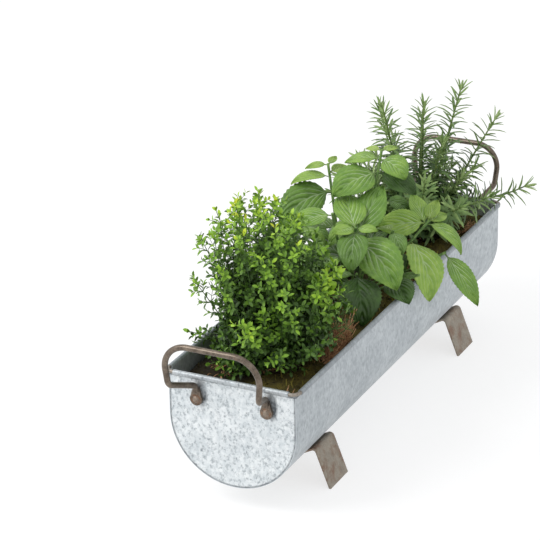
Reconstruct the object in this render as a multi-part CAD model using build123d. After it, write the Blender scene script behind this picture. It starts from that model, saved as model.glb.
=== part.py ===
from build123d import *
import math
import os

import numpy as np
from scipy.spatial import KDTree

# Indoor herb planter: a half-round galvanised trough on two strap feet, with a rod handle at each end
# and three herbs that lift out. +X runs along the trough, +Z is up, the floor is z = 0, and the origin
# is on the floor under the middle of the trough. Sizes are in millimetres and angles in degrees.

# Trough sheet
trough_length = 560.0
trough_inner_radius = 71.6
sheet = 0.8
bowl_lift = 25.3
side_height = 48.3

# Rim wire and the rolled edges round it
wire_radius = 2.0
wire_play = 0.05
wire_corner_radius = 8.0
bare_corner = 9.0
corner_notch = 2.7

# End panels
panel_fit = 0.1
flange_length = 10.0
flange_drop = 9.0

# Handles
rod_radius = 3.25
eye_spacing = 80.0
eye_drop = 26.0
eye_radius = 7.0
tab_thickness = 3.0
tab_taper = 13.0
rod_start = 9.0
tab_bend_drop = 10.0
elbow_out = 41.0
elbow_spread = 11.0
elbow_rise = 5.0
bail_lean = 4.0
bail_half_width = 56.0
bail_rise = 53.0
tab_bend_radius = 6.0
elbow_radius = 9.0
bail_corner_radius = 27.0

# Handle rivets
handle_shank_radius = 2.5
handle_head_radius = 4.0
handle_head_height = 2.3
handle_tail_height = 2.0
rivet_hole_play = 0.1

# Foot straps
foot_x = 178.5
strap_width = 44.0
strap_thickness = 2.0
strap_bend_angle = 46.0
strap_bend_stand = 4.8
leg_spread = 17.07
strap_bend_radius = 4.0

# Foot rivets
foot_rivet_angle = 20.0
foot_rivet_pitch = 26.0
foot_shank_radius = 2.0
foot_head_radius = 4.0
foot_head_height = 2.2
foot_tail_height = 1.6
tail_seat_gap = 0.04

# Potting fill and moss
fill_play = 0.3
fill_drop = 28.0
moss_thickness = 10.0
moss_corner_radius = 8.0
moss_edge_radius = 3.3
moss_hole_play = 0.8

# Root plugs
plug_top_radius = 33.0
plug_bottom_radius = 24.0
plug_height = 79.0
plug_play = 0.4
plug_proud = 1.0
stem_edge_gap = 7.0
stem_sink = 5.0

# Room that the herbs keep
rim_leaf_gap = 2.5
plug_leaf_gap = 1.0
sprig_share = 0.47
fork_gap = 0.1

# Shape of a sprig's whorls: how full the first and the last are, and where each is widest and narrowest
first_fullness = 0.30
last_fullness = 0.88
whorl_wide_place = 0.66
whorl_waist_place = 0.84
least_whorl_share = 1.05

# Thyme: a dome of sprigs set out like the seeds of a sunflower, lower towards one heading
thyme_x = -181.0
thyme_sprig_count = 40
thyme_spread = 89.0
thyme_height = 178.0
thyme_edge_height = 40.0
thyme_fullness = 1.9
thyme_tilt = 60.0
thyme_tilt_heading = -45.0
thyme_stem_radius = 0.9
thyme_bare_share = 0.30
thyme_whorls = 8
thyme_whorl_radius = 9.0

# Rosemary: each sprig as azimuth, reach from the plug's axis and height of the tip above the plug
rosemary_x = 203.0
rosemary_stem_radius = 1.3
rosemary_bare_share = 0.22
rosemary_whorls = 9
rosemary_whorl_radius = 14.0
rosemary_tips = [
    (160, 60, 180), (-75, 8, 168), (-71, 53, 190), (-46, 105, 138), (-54, 145, 45), (-108, 74, 38),
    (54, 145, 48), (-92, 104, 62), (-126, 106, 66), (-150, 82, 100), (-18, 56, 104), (14, 40, 140),
    (74, 60, 150), (110, 80, 92), (128, 110, 60), (88, 112, 54), (42, 92, 92), (150, 78, 58),
    (-100, 38, 130), (-170, 84, 44), (20, 62, 46), (-30, 60, 44), (-60, 78, 88),
]

# Mint: each shoot as azimuth, reach from the plug's axis and height of its tip, the inner shoots first
mint_x = 15.0
mint_stem_radius = 1.5
mint_shoots = {
    "inner": (171, 35, 104), "near": (-147, 41, 92), "tallest": (-22, 49, 154), "tall": (53, 50, 134),
    "middle": (-84, 50, 78), "rim": (-112, 62, 34), "low": (-149, 61, 46), "back": (118, 66, 80),
    "far": (-8, 74, 84), "rim_side": (-92, 84, 34), "back_low": (96, 90, 60), "side": (-43, 96, 68),
    "back_far": (60, 108, 46), "hanging": (-50, 111, 32),
}

# Mint leaves: shoot, place along it, heading, length, width as a share of the length, rise, droop and roll
mint_leaves = [
    ("near", 0.99, 143, 28, 0.72, 12, 25, -15), ("near", 0.99, -88, 24, 0.66, 12, 20, 15),
    ("near", 0.96, 40, 55, 0.66, 42, 30, 0), ("near", 0.94, -162, 72, 0.58, 10, 80, 0),
    ("near", 0.85, -11, 68, 0.56, 46, 16, 4), ("near", 0.82, -111, 71, 0.62, -2, 62, -6),
    ("tall", 0.99, -2, 19, 0.50, 25, 30, 10), ("tall", 0.99, 115, 25, 0.50, 10, 40, -15),
    ("tall", 0.93, -30, 26, 0.60, 12, 25, 20), ("tall", 0.895, 126, 45, 0.50, 24, 62, -5),
    ("tall", 0.765, 142, 73, 0.58, 12, 72, -18), ("tall", 0.74, -5, 40, 0.60, 20, 60, 0),
    ("inner", 0.98, 128, 47, 0.66, 12, 44, -16),
    ("tallest", 0.99, 91, 18, 0.55, 18, 40, -15), ("tallest", 0.99, -33, 21, 0.55, 18, 40, 10),
    ("tallest", 0.93, -105, 40, 0.78, 10, 70, 18), ("tallest", 0.93, 102, 40, 0.64, 12, 44, -8),
    ("tallest", 0.83, 153, 64, 0.66, 12, 48, -24), ("tallest", 0.83, -85, 49, 0.70, 0, 50, 22),
    ("far", 0.98, -70, 32, 0.70, 0, 50, 24), ("far", 0.98, 70, 40, 0.60, 15, 60, 0),
    ("side", 0.99, -9, 27, 0.70, 50, 20, 0), ("side", 0.985, -23, 28, 0.70, 18, 30, 15),
    ("side", 0.94, 116, 55, 0.60, 8, 25, -28), ("side", 0.94, 46, 44, 0.50, 42, 25, 0),
    ("side", 0.955, -82, 55, 0.46, 0, 80, 8), ("side", 0.68, -129, 83, 0.58, 4, 110, -30),
    ("side", 0.52, -155, 37, 0.40, 5, 60, 0), ("hanging", 0.98, -102, 69, 0.40, -36, 26, 0),
    ("rim_side", 0.98, 120, 22, 0.50, 8, 50, -20), ("rim", 0.98, -127, 47, 0.72, 8, 46, 10),
    ("middle", 0.98, -137, 34, 0.60, 0, 60, 0), ("middle", 0.98, 60, 34, 0.60, 10, 60, 0),
    ("low", 0.98, -148, 64, 0.72, -8, 70, 0), ("low", 0.90, 110, 40, 0.60, 15, 60, 0),
]

# Pairs of mint leaves that fill the room left over: place along the shoot and length
low_pairs = [(0.46, 58)]
upper_pairs = [(0.72, 60), (0.90, 42), (0.98, 24)]
pair_twist = 30.0
fill_width_share = 0.62
fill_rise = 24.0
fill_droop = 80.0
fill_turns = [0, 20, -20, 40, -40, 60, -60]
fill_least_angle = 34.0

# Shape of a mint leaf, and the room that leaves keep
leaf_thickness = 1.2
leaf_fold = 12.0
leaf_outline = [(0.10, 0.05), (0.19, 0.55), (0.32, 0.90), (0.48, 1.0), (0.68, 0.80), (0.87, 0.40)]
leaf_seat_gap = 0.15
leaf_sample_step = 3.0
chosen_leaf_room = 0.8
fill_leaf_room = 3.3
stem_leaf_room = 3.0
mint_half_slab = 98.0
mint_half_reach = 140.0

# Sizes that follow from the ones above
half_length = trough_length / 2
trough_outer_radius = trough_inner_radius + sheet
bowl_z = bowl_lift + trough_outer_radius
rim_z = bowl_z + side_height
roll_inner_radius = wire_radius + wire_play
roll_outer_radius = roll_inner_radius + sheet
wire_y = trough_inner_radius + roll_outer_radius
wire_x = half_length - sheet + roll_outer_radius
notch_height = corner_notch + roll_outer_radius
panel_radius = trough_inner_radius - panel_fit
eye_y = eye_spacing / 2
eye_z = rim_z - eye_drop
bend_y = (trough_outer_radius + strap_bend_stand) * math.sin(math.radians(strap_bend_angle))
bend_z = bowl_z - (trough_outer_radius + strap_bend_stand) * math.cos(math.radians(strap_bend_angle))
foot_y = bend_y + leg_spread
tail_sagitta = trough_inner_radius - math.sqrt(trough_inner_radius ** 2 - foot_head_radius ** 2)
fill_top_z = rim_z - fill_drop
moss_top_z = fill_top_z + moss_thickness
moss_end = half_length - sheet - handle_tail_height - fill_play
plug_top_z = moss_top_z + plug_proud
plug_floor_z = plug_top_z - plug_height
stem_ring_radius = plug_top_radius - stem_edge_gap
golden_angle = 180 * (3 - math.sqrt(5))


def u_face(radius, top):
    """The U-shaped area of that radius, closed by a straight line at that height, in the YZ plane."""
    sides = Polyline((radius, bowl_z), (radius, top), (-radius, top), (-radius, bowl_z))
    bowl = ThreePointArc((-radius, bowl_z), (0, bowl_z - radius), (radius, bowl_z))
    return make_face(sides + bowl)


def along_x(face, start, end):
    """A YZ face run along X from start to end."""
    return Pos(start, 0, 0) * extrude(Plane.YZ * face, end - start)


def rivet(shank_radius, head_radius, head_height, tail_height, grip, seat_gap=0.0):
    """A rivet along +Z: its domed head sits on z = 0 and its flat tail starts at the depth of the grip."""
    tail_top = -grip - seat_gap
    tail_bottom = tail_top - tail_height
    ball_radius = (head_radius ** 2 + head_height ** 2) / (2 * head_height)
    half_turn = math.asin(head_radius / ball_radius) / 2
    crown = (ball_radius * math.sin(half_turn), head_height - ball_radius * (1 - math.cos(half_turn)))
    dome = ThreePointArc((head_radius, 0), crown, (0, head_height))
    rest = Polyline(
        (0, head_height), (0, tail_bottom), (head_radius, tail_bottom), (head_radius, tail_top),
        (shank_radius, tail_top), (shank_radius, 0), (head_radius, 0),
    )
    return revolve(Plane.XZ * make_face(dome + rest), Axis.Z)


def foot_rivet_places(strap_x):
    """The seat of each foot rivet under a strap: on the strap, with +Z out of the bowl."""
    seat_radius = trough_outer_radius + strap_thickness
    places = []
    for side in (-1, 1):
        lean = math.radians(side * foot_rivet_angle)
        outward = (0, math.sin(lean), -math.cos(lean))
        for offset in (-foot_rivet_pitch / 2, foot_rivet_pitch / 2):
            seat = (strap_x + offset, seat_radius * outward[1], bowl_z + seat_radius * outward[2])
            places.append(Plane(origin=seat, x_dir=(1, 0, 0), z_dir=outward))
    return places


def foot_rivet_holes(strap_x):
    """The drilled holes for the foot rivets, deep enough for strap and trough."""
    depth = 4 * (strap_thickness + sheet)
    hole = Cylinder(foot_shank_radius + rivet_hole_play, depth)
    return [place * hole for place in foot_rivet_places(strap_x)]


def make_trough_sheet():
    """The U-shaped sheet with its long edges rolled round the rim wire."""
    section = u_face(trough_outer_radius, rim_z) - u_face(trough_inner_radius, rim_z)
    sheet_solid = along_x(section, -half_length, half_length)
    hem_end = wire_x - bare_corner
    notch = Box(half_length, 4 * wire_y, notch_height, align=(Align.MIN, Align.CENTER, Align.MIN))
    sheet_solid -= Pos(hem_end, 0, rim_z - corner_notch) * notch
    sheet_solid -= Pos(-hem_end - half_length, 0, rim_z - corner_notch) * notch
    roll = Circle(roll_outer_radius) - Circle(roll_inner_radius)
    for side in (-1, 1):
        sheet_solid += along_x(Pos(side * wire_y, rim_z) * roll, -hem_end, hem_end)
        bore = along_x(Pos(side * wire_y, rim_z) * Circle(roll_inner_radius), -hem_end, hem_end)
        sheet_solid -= bore
    for strap_x in (-foot_x, foot_x):
        sheet_solid -= foot_rivet_holes(strap_x)
    return sheet_solid


def make_end_panel():
    """The D-shaped panel at +X: its flange laps inside the trough and its top is rolled round the wire."""
    outer = half_length
    inner = half_length - sheet
    panel = along_x(u_face(panel_radius, rim_z), inner, outer)
    flange_face = u_face(panel_radius, rim_z - flange_drop)
    flange_face -= u_face(panel_radius - sheet, rim_z - flange_drop)
    panel += along_x(flange_face, inner - flange_length, inner)
    hem_end = wire_y - bare_corner
    for side in (-1, 1):
        notch = Box(4 * sheet, trough_outer_radius, notch_height, align=(Align.CENTER, Align.MIN, Align.MIN))
        place = Pos(outer, hem_end if side > 0 else -hem_end - trough_outer_radius, rim_z - corner_notch)
        panel -= place * notch
    along_y = Plane(origin=(wire_x, -hem_end, rim_z), x_dir=(1, 0, 0), z_dir=(0, 1, 0))
    panel += extrude(along_y * Circle(roll_outer_radius), 2 * hem_end)
    panel -= extrude(along_y * Circle(roll_inner_radius), 2 * hem_end)
    for side in (-1, 1):
        hole = Cylinder(handle_shank_radius + rivet_hole_play, 6 * sheet)
        panel -= Pos(outer, side * eye_y, eye_z) * Rot(0, 90, 0) * hole
    return panel


def make_rim_wire():
    """One wire round the rim, with bent corners."""
    loop = Pos(0, 0, rim_z) * RectangleRounded(2 * wire_x, 2 * wire_y, wire_corner_radius).wire()
    start = Plane(origin=loop @ 0, z_dir=loop % 0)
    return sweep(start * Circle(wire_radius), path=loop)


def make_handle():
    """The rod handle at +X, its two ends forged flat with an eye for a rivet."""
    wall = half_length
    tab_z = rim_z - tab_bend_drop
    rod_x = wall + rod_radius
    half = [
        (rod_x, eye_y, eye_z + rod_start),
        (rod_x, eye_y, tab_z),
        (wall + elbow_out, eye_y + elbow_spread, rim_z + elbow_rise),
        (wall + elbow_out + bail_lean, bail_half_width, rim_z + bail_rise),
    ]
    points = half + [(x, -y, z) for x, y, z in reversed(half)]
    bends = [tab_bend_radius, elbow_radius, bail_corner_radius]
    path = FilletPolyline(*points, radius=bends + bends[::-1])
    start = Plane(origin=points[0], z_dir=(0, 0, 1))
    handle = sweep(start * Circle(rod_radius), path=path)
    for side in (-1, 1):
        y = side * eye_y
        neck = Polyline(
            (y - eye_radius, eye_z), (y - rod_radius, eye_z + tab_taper),
            (y + rod_radius, eye_z + tab_taper), (y + eye_radius, eye_z), close=True,
        )
        tab_face = make_face(neck) + Pos(y, eye_z) * Circle(eye_radius)
        tab_face -= Pos(y, eye_z) * Circle(handle_shank_radius + rivet_hole_play)
        handle += along_x(tab_face, wall, wall + tab_thickness)
    return handle


def make_handle_rivets():
    """The two rivets of the handle at +X, through the eyes and the end panel."""
    grip = tab_thickness + sheet
    one = rivet(handle_shank_radius, handle_head_radius, handle_head_height, handle_tail_height, grip)
    seat = Pos(half_length + tab_thickness, 0, eye_z) * Rot(0, 90, 0)
    return [Pos(0, side * eye_y, 0) * seat * one for side in (-1, 1)]


def make_foot_strap(strap_x):
    """A flat bar that cradles the bowl, leaves it on both sides and is bent down into two legs."""
    middle_radius = trough_outer_radius + strap_thickness / 2
    bend_distance = math.hypot(bend_y, bowl_z - bend_z)
    leave = math.atan2(bend_y, bowl_z - bend_z) - math.acos(middle_radius / bend_distance)
    leave_point = (middle_radius * math.sin(leave), bowl_z - middle_radius * math.cos(leave))
    below = strap_thickness * 2
    leg_slope = (foot_y - bend_y) / bend_z
    leg_end = (foot_y + below * leg_slope, -below)
    right = FilletPolyline(leg_end, (bend_y, bend_z), leave_point, radius=strap_bend_radius)
    left = mirror(right, about=Plane.YZ)
    cradle = ThreePointArc(leave_point, (0, bowl_z - middle_radius), (-leave_point[0], leave_point[1]))
    bar = trace(right + cradle + left, line_width=strap_thickness)
    strap = along_x(bar, strap_x - strap_width / 2, strap_x + strap_width / 2)
    under_floor = Box(2 * strap_width, 4 * foot_y, 4 * below, align=(Align.CENTER, Align.CENTER, Align.MAX))
    strap -= Pos(strap_x, 0, 0) * under_floor
    strap -= foot_rivet_holes(strap_x)
    return strap


def make_foot_rivets(strap_x):
    """The rivets that hold a strap under the bowl."""
    grip = strap_thickness + sheet
    seat_gap = tail_sagitta + tail_seat_gap
    one = rivet(foot_shank_radius, foot_head_radius, foot_head_height, foot_tail_height, grip, seat_gap)
    return [place * one for place in foot_rivet_places(strap_x)]


def plug_shape(herb_x, play):
    """A herb's tapered root plug, grown by the play on its side."""
    body = Cone(plug_bottom_radius + play, plug_top_radius + play, plug_height,
                align=(Align.CENTER, Align.CENTER, Align.MIN))
    return Pos(herb_x, 0, plug_floor_z) * body


def make_potting_fill():
    """The growing medium that fills the bowl between the two flanges, with a pocket for each plug."""
    end = half_length - sheet - flange_length - fill_play
    fill = along_x(u_face(trough_inner_radius - fill_play, fill_top_z), -end, end)
    for herb_x in (thyme_x, mint_x, rosemary_x):
        fill -= plug_shape(herb_x, plug_play)
    tail_pocket = Cylinder(foot_head_radius + fill_play, 4 * (foot_tail_height + strap_thickness + sheet))
    for strap_x in (-foot_x, foot_x):
        fill -= [place * tail_pocket for place in foot_rivet_places(strap_x)]
    return fill


def make_moss_mat():
    """The layer of moss over the fill, with a hole round each plug."""
    half_width = panel_radius - sheet - fill_play
    outline = RectangleRounded(2 * moss_end, 2 * half_width, moss_corner_radius)
    mat = extrude(Pos(0, 0, fill_top_z) * outline, moss_thickness)
    mat = fillet(mat.edges().group_by(Axis.Z)[-1], moss_edge_radius)
    for herb_x in (thyme_x, mint_x, rosemary_x):
        mat -= plug_shape(herb_x, moss_hole_play)
    return mat


def tip_point(herb_x, azimuth, reach, height):
    """A tip given from a herb's axis and the top of its plug."""
    turn = math.radians(azimuth)
    return Vector(herb_x + reach * math.cos(turn), reach * math.sin(turn), plug_top_z + height)


def base_point(herb_x, azimuth, share):
    """Where a stem leaves the top of the plug: the share of the stem ring's radius, on that azimuth."""
    return tip_point(herb_x, azimuth, stem_ring_radius * share, 0)


def distance_to_run(point, start, end):
    """How far a point is from the straight run between two points."""
    run = end - start
    share = (point - start).dot(run) / run.dot(run)
    return (point - start - run * min(max(share, 0), 1)).length


def room_round(point, own_runs, all_runs):
    """The radius that a whorl may have there: clear of the other sprigs, of the plug and of the rim."""
    rim_distance = math.hypot(abs(point.Y) - wire_y, point.Z - rim_z)
    room = min(rim_distance - roll_outer_radius - rim_leaf_gap, point.Z - plug_top_z - plug_leaf_gap)
    for run in all_runs:
        if run not in own_runs:
            room = min(room, sprig_share * distance_to_run(point, *run))
    return room


def whorled_sprig(own_runs, all_runs, stem_radius, whorls, whorl_radius):
    """The leafy part of a sprig: cones of leaves set one over the other, smaller at both ends."""
    start, tip = own_runs[1]
    axis = tip - start
    step = axis.length / whorls
    outline = [(0, 0), (stem_radius, 0)]
    for k in range(whorls):
        grown = first_fullness + (last_fullness - first_fullness) * (k + 1) / whorls
        radius = whorl_radius * math.sin(math.pi * grown)
        height = (k + whorl_wide_place) * step
        room = room_round(start + axis * (height / axis.length), own_runs, all_runs)
        outline.append((max(min(radius, room), stem_radius * least_whorl_share), height))
        outline.append((stem_radius, (k + whorl_waist_place) * step))
    outline.append((0, axis.length))
    turned = revolve(Plane.XZ * make_face(Polyline(*outline, close=True)), Axis.Z)
    return Plane(origin=start, z_dir=axis) * turned


def stem_from_plug(base, end, radius):
    """A straight round stem that starts flush on top of its plug."""
    axis = end - base
    sunk = base - axis.normalized() * stem_sink
    stem = Cylinder(radius, axis.length + stem_sink, align=(Align.CENTER, Align.CENTER, Align.MIN))
    wide = 2 * plug_top_radius
    in_plug = Box(wide, wide, plug_height, align=(Align.CENTER, Align.CENTER, Align.MAX))
    return Plane(origin=sunk, z_dir=axis) * stem - Pos(base.X, base.Y, plug_top_z) * in_plug


def make_sprig_herb(herb_x, tips, stem_radius, bare_share, whorls, whorl_radius):
    """The bare stems and the leafy sprigs of a herb, one of each for every tip."""
    reaches = sorted(reach for azimuth, reach, height in tips)
    clear_height = rim_z + roll_outer_radius + rim_leaf_gap + whorl_radius - plug_top_z
    pairs = []
    for azimuth, reach, height in tips:
        base = base_point(herb_x, azimuth, math.sqrt((reaches.index(reach) + 0.5) / len(tips)))
        tip = tip_point(herb_x, azimuth, reach, height)
        fork = base + (tip - base) * bare_share
        if abs(tip.Y) > trough_inner_radius - whorl_radius:
            fork.Z = max(fork.Z, plug_top_z + clear_height)
        pairs.append([(base, fork), (fork, tip)])
    runs = [run for pair in pairs for run in pair]
    stems = []
    for (base, fork), (start, tip) in pairs:
        kink = math.radians((fork - base).get_angle(tip - start))
        back = stem_radius * math.sin(kink) + fork_gap
        end = fork - (fork - base).normalized() * back
        stems.append(stem_from_plug(base, end, stem_radius))
    sprigs = [whorled_sprig(pair, runs, stem_radius, whorls, whorl_radius) for pair in pairs]
    return stems, sprigs


def thyme_tips():
    """The tips of the thyme's dome, from its top to its skirt, lower on the side that it leans to."""
    tips = []
    for k in range(thyme_sprig_count):
        share = (k + 0.5) / thyme_sprig_count
        dome = math.sqrt(1 - share ** thyme_fullness)
        height = thyme_edge_height + (thyme_height - thyme_edge_height) * dome
        turn = math.radians(k * golden_angle - thyme_tilt_heading)
        height -= thyme_tilt * math.sqrt(share) * max(0.0, math.cos(turn))
        height = max(height, thyme_edge_height)
        tips.append((k * golden_angle, thyme_spread * math.sqrt(share), height))
    return tips


def mint_runs():
    """Where the stem of each mint shoot starts on the plug, and where it ends."""
    runs = {}
    for k, (name, (azimuth, reach, height)) in enumerate(mint_shoots.items()):
        base = base_point(mint_x, azimuth, math.sqrt((k + 0.5) / len(mint_shoots)))
        runs[name] = (base, tip_point(mint_x, azimuth, reach, height))
    return runs


def fill_leaves():
    """A low pair of leaves for each shoot, and crossed pairs up the shoots that have no chosen leaves."""
    fill = []
    chosen = {leaf[0] for leaf in mint_leaves}
    for name, (azimuth, reach, height) in mint_shoots.items():
        pairs = low_pairs if name in chosen else low_pairs + upper_pairs
        for k, (place, length) in enumerate(pairs):
            for side in (0, 180):
                heading = azimuth + pair_twist + 90 * k + side
                fill.append((name, place, heading, length, fill_width_share, fill_rise, fill_droop, 0))
    return fill


def leaf_start(run, place, heading, rise):
    """Where a leaf starts, just off its stem, and the angle that it makes with the stem."""
    base, tip = run
    along = (tip - base).normalized()
    turn = math.radians(heading)
    outward = Vector(math.cos(turn), math.sin(turn), math.tan(math.radians(rise)))
    off_stem = (outward - along * outward.dot(along)).normalized()
    start = base + (tip - base) * place + off_stem * (mint_stem_radius + leaf_seat_gap)
    return start, outward.get_angle(along)


def leaf_sections(start, heading, length, width_share, rise, droop, roll):
    """The cross-sections of a mint leaf: left edge, middle, right edge and the leaf's upward direction."""
    turn = math.radians(heading)
    lean = math.radians(roll)
    ahead = Vector(math.cos(turn), math.sin(turn), 0)
    level = Vector(-math.sin(turn), math.cos(turn), 0)
    fold = math.tan(math.radians(leaf_fold))
    point = start
    done = 0.0
    sections = []
    for share, fullness in leaf_outline + [(1.0, 0.0)]:
        slope = math.radians(rise - droop * (share + done) / 2)
        forward = ahead * math.cos(slope) + Vector(0, 0, math.sin(slope))
        upright = Vector(0, 0, math.cos(slope)) - ahead * math.sin(slope)
        up = upright * math.cos(lean) - level * math.sin(lean)
        point = point + forward * (share - done) * length
        half_width = length * width_share / 2 * fullness
        side = (level * math.cos(lean) + upright * math.sin(lean)) * half_width
        lift = up * half_width * fold
        sections.append((point + side + lift, point, point - side + lift, up))
        done = share
    return sections


def leaf_samples(start, sections):
    """Points spread evenly over a leaf's blade, for keeping leaves apart."""
    rows = [(start, start, start)] + [section[:3] for section in sections]
    points = [tuple(sections[-1][1])]
    for near, far in zip(rows, rows[1:]):
        steps = math.ceil((far[1] - near[1]).length / leaf_sample_step)
        for k in range(steps):
            left, middle, right = [a + (b - a) * (k / steps) for a, b in zip(near, far)]
            sides = math.ceil((left - middle).length / leaf_sample_step)
            points.append(tuple(middle))
            for n in range(1, sides + 1):
                points.append(tuple(middle + (left - middle) * (n / sides)))
                points.append(tuple(middle + (right - middle) * (n / sides)))
    return np.array(points)


def stem_samples(run):
    """Points along a stem."""
    base, tip = run
    steps = math.ceil((tip - base).length / leaf_sample_step)
    return np.array([tuple(base + (tip - base) * (k / steps)) for k in range(steps + 1)])


def leaf_solid(start, sections):
    """A closed thin leaf with sharp edges, thickest along its middle rib."""
    rings = []
    for left, middle, right, up in sections[:-1]:
        half = up * (leaf_thickness / 2)
        rings.append([left, middle + half, right, middle - half])
    tip = sections[-1][1]
    triangles = []
    for k in range(4):
        after = (k + 1) % 4
        triangles.append((start, rings[0][k], rings[0][after]))
        triangles.append((tip, rings[-1][k], rings[-1][after]))
        for near, far in zip(rings, rings[1:]):
            triangles.append((near[k], near[after], far[k]))
            triangles.append((near[after], far[after], far[k]))
    faces = [Face(Wire.make_polygon(corners, close=True)) for corners in triangles]
    return Solid(Shell(faces))


def clear_of_trough(points):
    """Whether each point of a leaf is over the rim, inside it above the plug, or outside it."""
    aside = np.abs(points[:, 1])
    over_rim = points[:, 2] > rim_z + roll_outer_radius + rim_leaf_gap
    inside = (aside < trough_inner_radius - rim_leaf_gap) & (points[:, 2] > plug_top_z + rim_leaf_gap)
    outside = aside > wire_y + roll_outer_radius + rim_leaf_gap
    return np.all(over_rim | inside | outside)


def leaf_has_room(points, leaf_points, stem_points, leaf_room):
    """Whether a leaf keeps to the mint's own room and clear of its other leaves and of the other stems."""
    in_slab = np.abs(points[:, 0] - mint_x).max() < mint_half_slab
    in_reach = np.abs(points[:, 1]).max() < mint_half_reach
    if not (in_slab and in_reach and clear_of_trough(points)):
        return False
    if KDTree(stem_points).query(points)[0].min() < stem_leaf_room:
        return False
    return not leaf_points or KDTree(np.concatenate(leaf_points)).query(points)[0].min() > leaf_room


def make_mint():
    """The mint's stems, the chosen leaves and the leaves that fill it; a leaf without room is left out."""
    runs = mint_runs()
    stems = [stem_from_plug(*run, mint_stem_radius) for run in runs.values()]
    leaves = []
    leaf_points = []
    tries = [(leaf, [0], 0, chosen_leaf_room) for leaf in mint_leaves]
    tries += [(leaf, fill_turns, fill_least_angle, fill_leaf_room) for leaf in fill_leaves()]
    for (shoot, place, heading, *shape), turns, least_angle, room in tries:
        other_stems = np.concatenate([stem_samples(run) for name, run in runs.items() if name != shoot])
        for aside in turns:
            start, stem_angle = leaf_start(runs[shoot], place, heading + aside, shape[2])
            sections = leaf_sections(start, heading + aside, *shape)
            points = leaf_samples(start, sections)
            if stem_angle >= least_angle and leaf_has_room(points, leaf_points, other_stems, room):
                leaves.append(leaf_solid(start, sections))
                leaf_points.append(leaf_samples(sections[0][1], sections[1:]))
                break
        else:
            print("no room for the mint leaf:", shoot, place, heading)
    return stems, leaves


def save(name, shapes):
    """Write one node, as one solid or as a group of separate solids."""
    group = shapes if isinstance(shapes, list) else [shapes]
    solids = [solid for shape in group for solid in shape.solids()]
    export_step(solids[0] if len(solids) == 1 else Compound(children=solids), f"parts/{name}.step")
    print(name, len(solids), "solids")


os.makedirs("parts", exist_ok=True)

save("trough_sheet", make_trough_sheet())
save("rim_wire", make_rim_wire())
ends = {
    "end_panel": [make_end_panel()],
    "handle": [make_handle()],
    "handle_rivets": make_handle_rivets(),
}
for name, shapes in ends.items():
    save(f"{name}_rear", shapes)
    save(f"{name}_front", [mirror(shape, about=Plane.YZ) for shape in shapes])
for end_name, strap_x in (("front", -foot_x), ("rear", foot_x)):
    save(f"foot_strap_{end_name}", make_foot_strap(strap_x))
    save(f"foot_rivets_{end_name}", make_foot_rivets(strap_x))
save("potting_fill", make_potting_fill())
save("moss_mat", make_moss_mat())

for herb, herb_x in (("thyme", thyme_x), ("mint", mint_x), ("rosemary", rosemary_x)):
    save(f"{herb}_root_plug", plug_shape(herb_x, 0))

thyme_parts = make_sprig_herb(
    thyme_x, thyme_tips(), thyme_stem_radius, thyme_bare_share, thyme_whorls, thyme_whorl_radius)
save("thyme_stems", thyme_parts[0])
save("thyme_sprigs", thyme_parts[1])
rosemary_parts = make_sprig_herb(
    rosemary_x, rosemary_tips, rosemary_stem_radius,
    rosemary_bare_share, rosemary_whorls, rosemary_whorl_radius)
save("rosemary_stems", rosemary_parts[0])
save("rosemary_sprigs", rosemary_parts[1])
mint_parts = make_mint()
save("mint_stems", mint_parts[0])
save("mint_leaves", mint_parts[1])
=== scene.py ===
# %% [markdown]
# # Herbs in a galvanised trough
# A half-round trough of galvanised sheet stands on two strap feet and holds three herbs: a small-leaved
# thyme at the near end, mint in the middle and rosemary at the far end. Its metal pieces come from the
# construction model, which is loaded as a fixed frame at its real size, in metres. The lesson gives those
# pieces their finishes and grows the plants, the moss and the coir on them.

# %% Load the frame
import math

import bpy
import numpy as np
from mathutils import Matrix, Vector


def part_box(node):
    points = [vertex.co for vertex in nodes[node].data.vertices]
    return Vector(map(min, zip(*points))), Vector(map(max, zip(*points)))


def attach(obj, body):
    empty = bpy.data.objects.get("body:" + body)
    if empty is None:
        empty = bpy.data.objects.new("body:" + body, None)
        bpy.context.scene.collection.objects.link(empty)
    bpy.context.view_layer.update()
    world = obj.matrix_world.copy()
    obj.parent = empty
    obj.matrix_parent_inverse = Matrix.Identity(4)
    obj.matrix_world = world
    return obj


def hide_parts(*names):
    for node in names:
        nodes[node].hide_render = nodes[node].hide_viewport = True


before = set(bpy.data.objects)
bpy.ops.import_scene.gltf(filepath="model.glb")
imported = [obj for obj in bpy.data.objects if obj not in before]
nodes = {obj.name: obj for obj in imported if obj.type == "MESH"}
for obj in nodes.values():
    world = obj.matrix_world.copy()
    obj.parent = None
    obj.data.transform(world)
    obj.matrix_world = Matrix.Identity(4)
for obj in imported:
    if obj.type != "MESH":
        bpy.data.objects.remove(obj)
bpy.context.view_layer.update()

mm = 0.001
scene = bpy.context.scene
scene.view_settings.view_transform = "Standard"
print("nodes in the frame:", len(nodes))

# %% [markdown]
# ## The camera
# The picture was taken from well back with a long lens, so the far end of the trough hardly shrinks. The
# camera looks down on the near left corner. Its place is measured from the middle of the trough on the
# floor, and its angles are turned in the order that a tripod head has them: pan, then tilt, then roll.

# %% Camera
camera_place = (-2.4645, -1.1210, 1.3357)
camera_pan = math.radians(-63.80)
camera_tilt = math.radians(90 - 23.47)
camera_roll = math.radians(-1.05)


def new_object(name, data):
    """An object with that data, in the scene."""
    made = bpy.data.objects.new(name, data)
    scene.collection.objects.link(made)
    return made


camera = new_object("camera", bpy.data.cameras.new("camera"))
camera.data.sensor_width = 36
camera.data.lens = 178.5
camera.matrix_world = (
    Matrix.Translation(camera_place)
    @ Matrix.Rotation(camera_pan, 4, "Z")
    @ Matrix.Rotation(camera_tilt, 4, "X")
    @ Matrix.Rotation(camera_roll, 4, "Z")
)
scene.camera = camera
print("lens", camera.data.lens, "mm")

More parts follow.
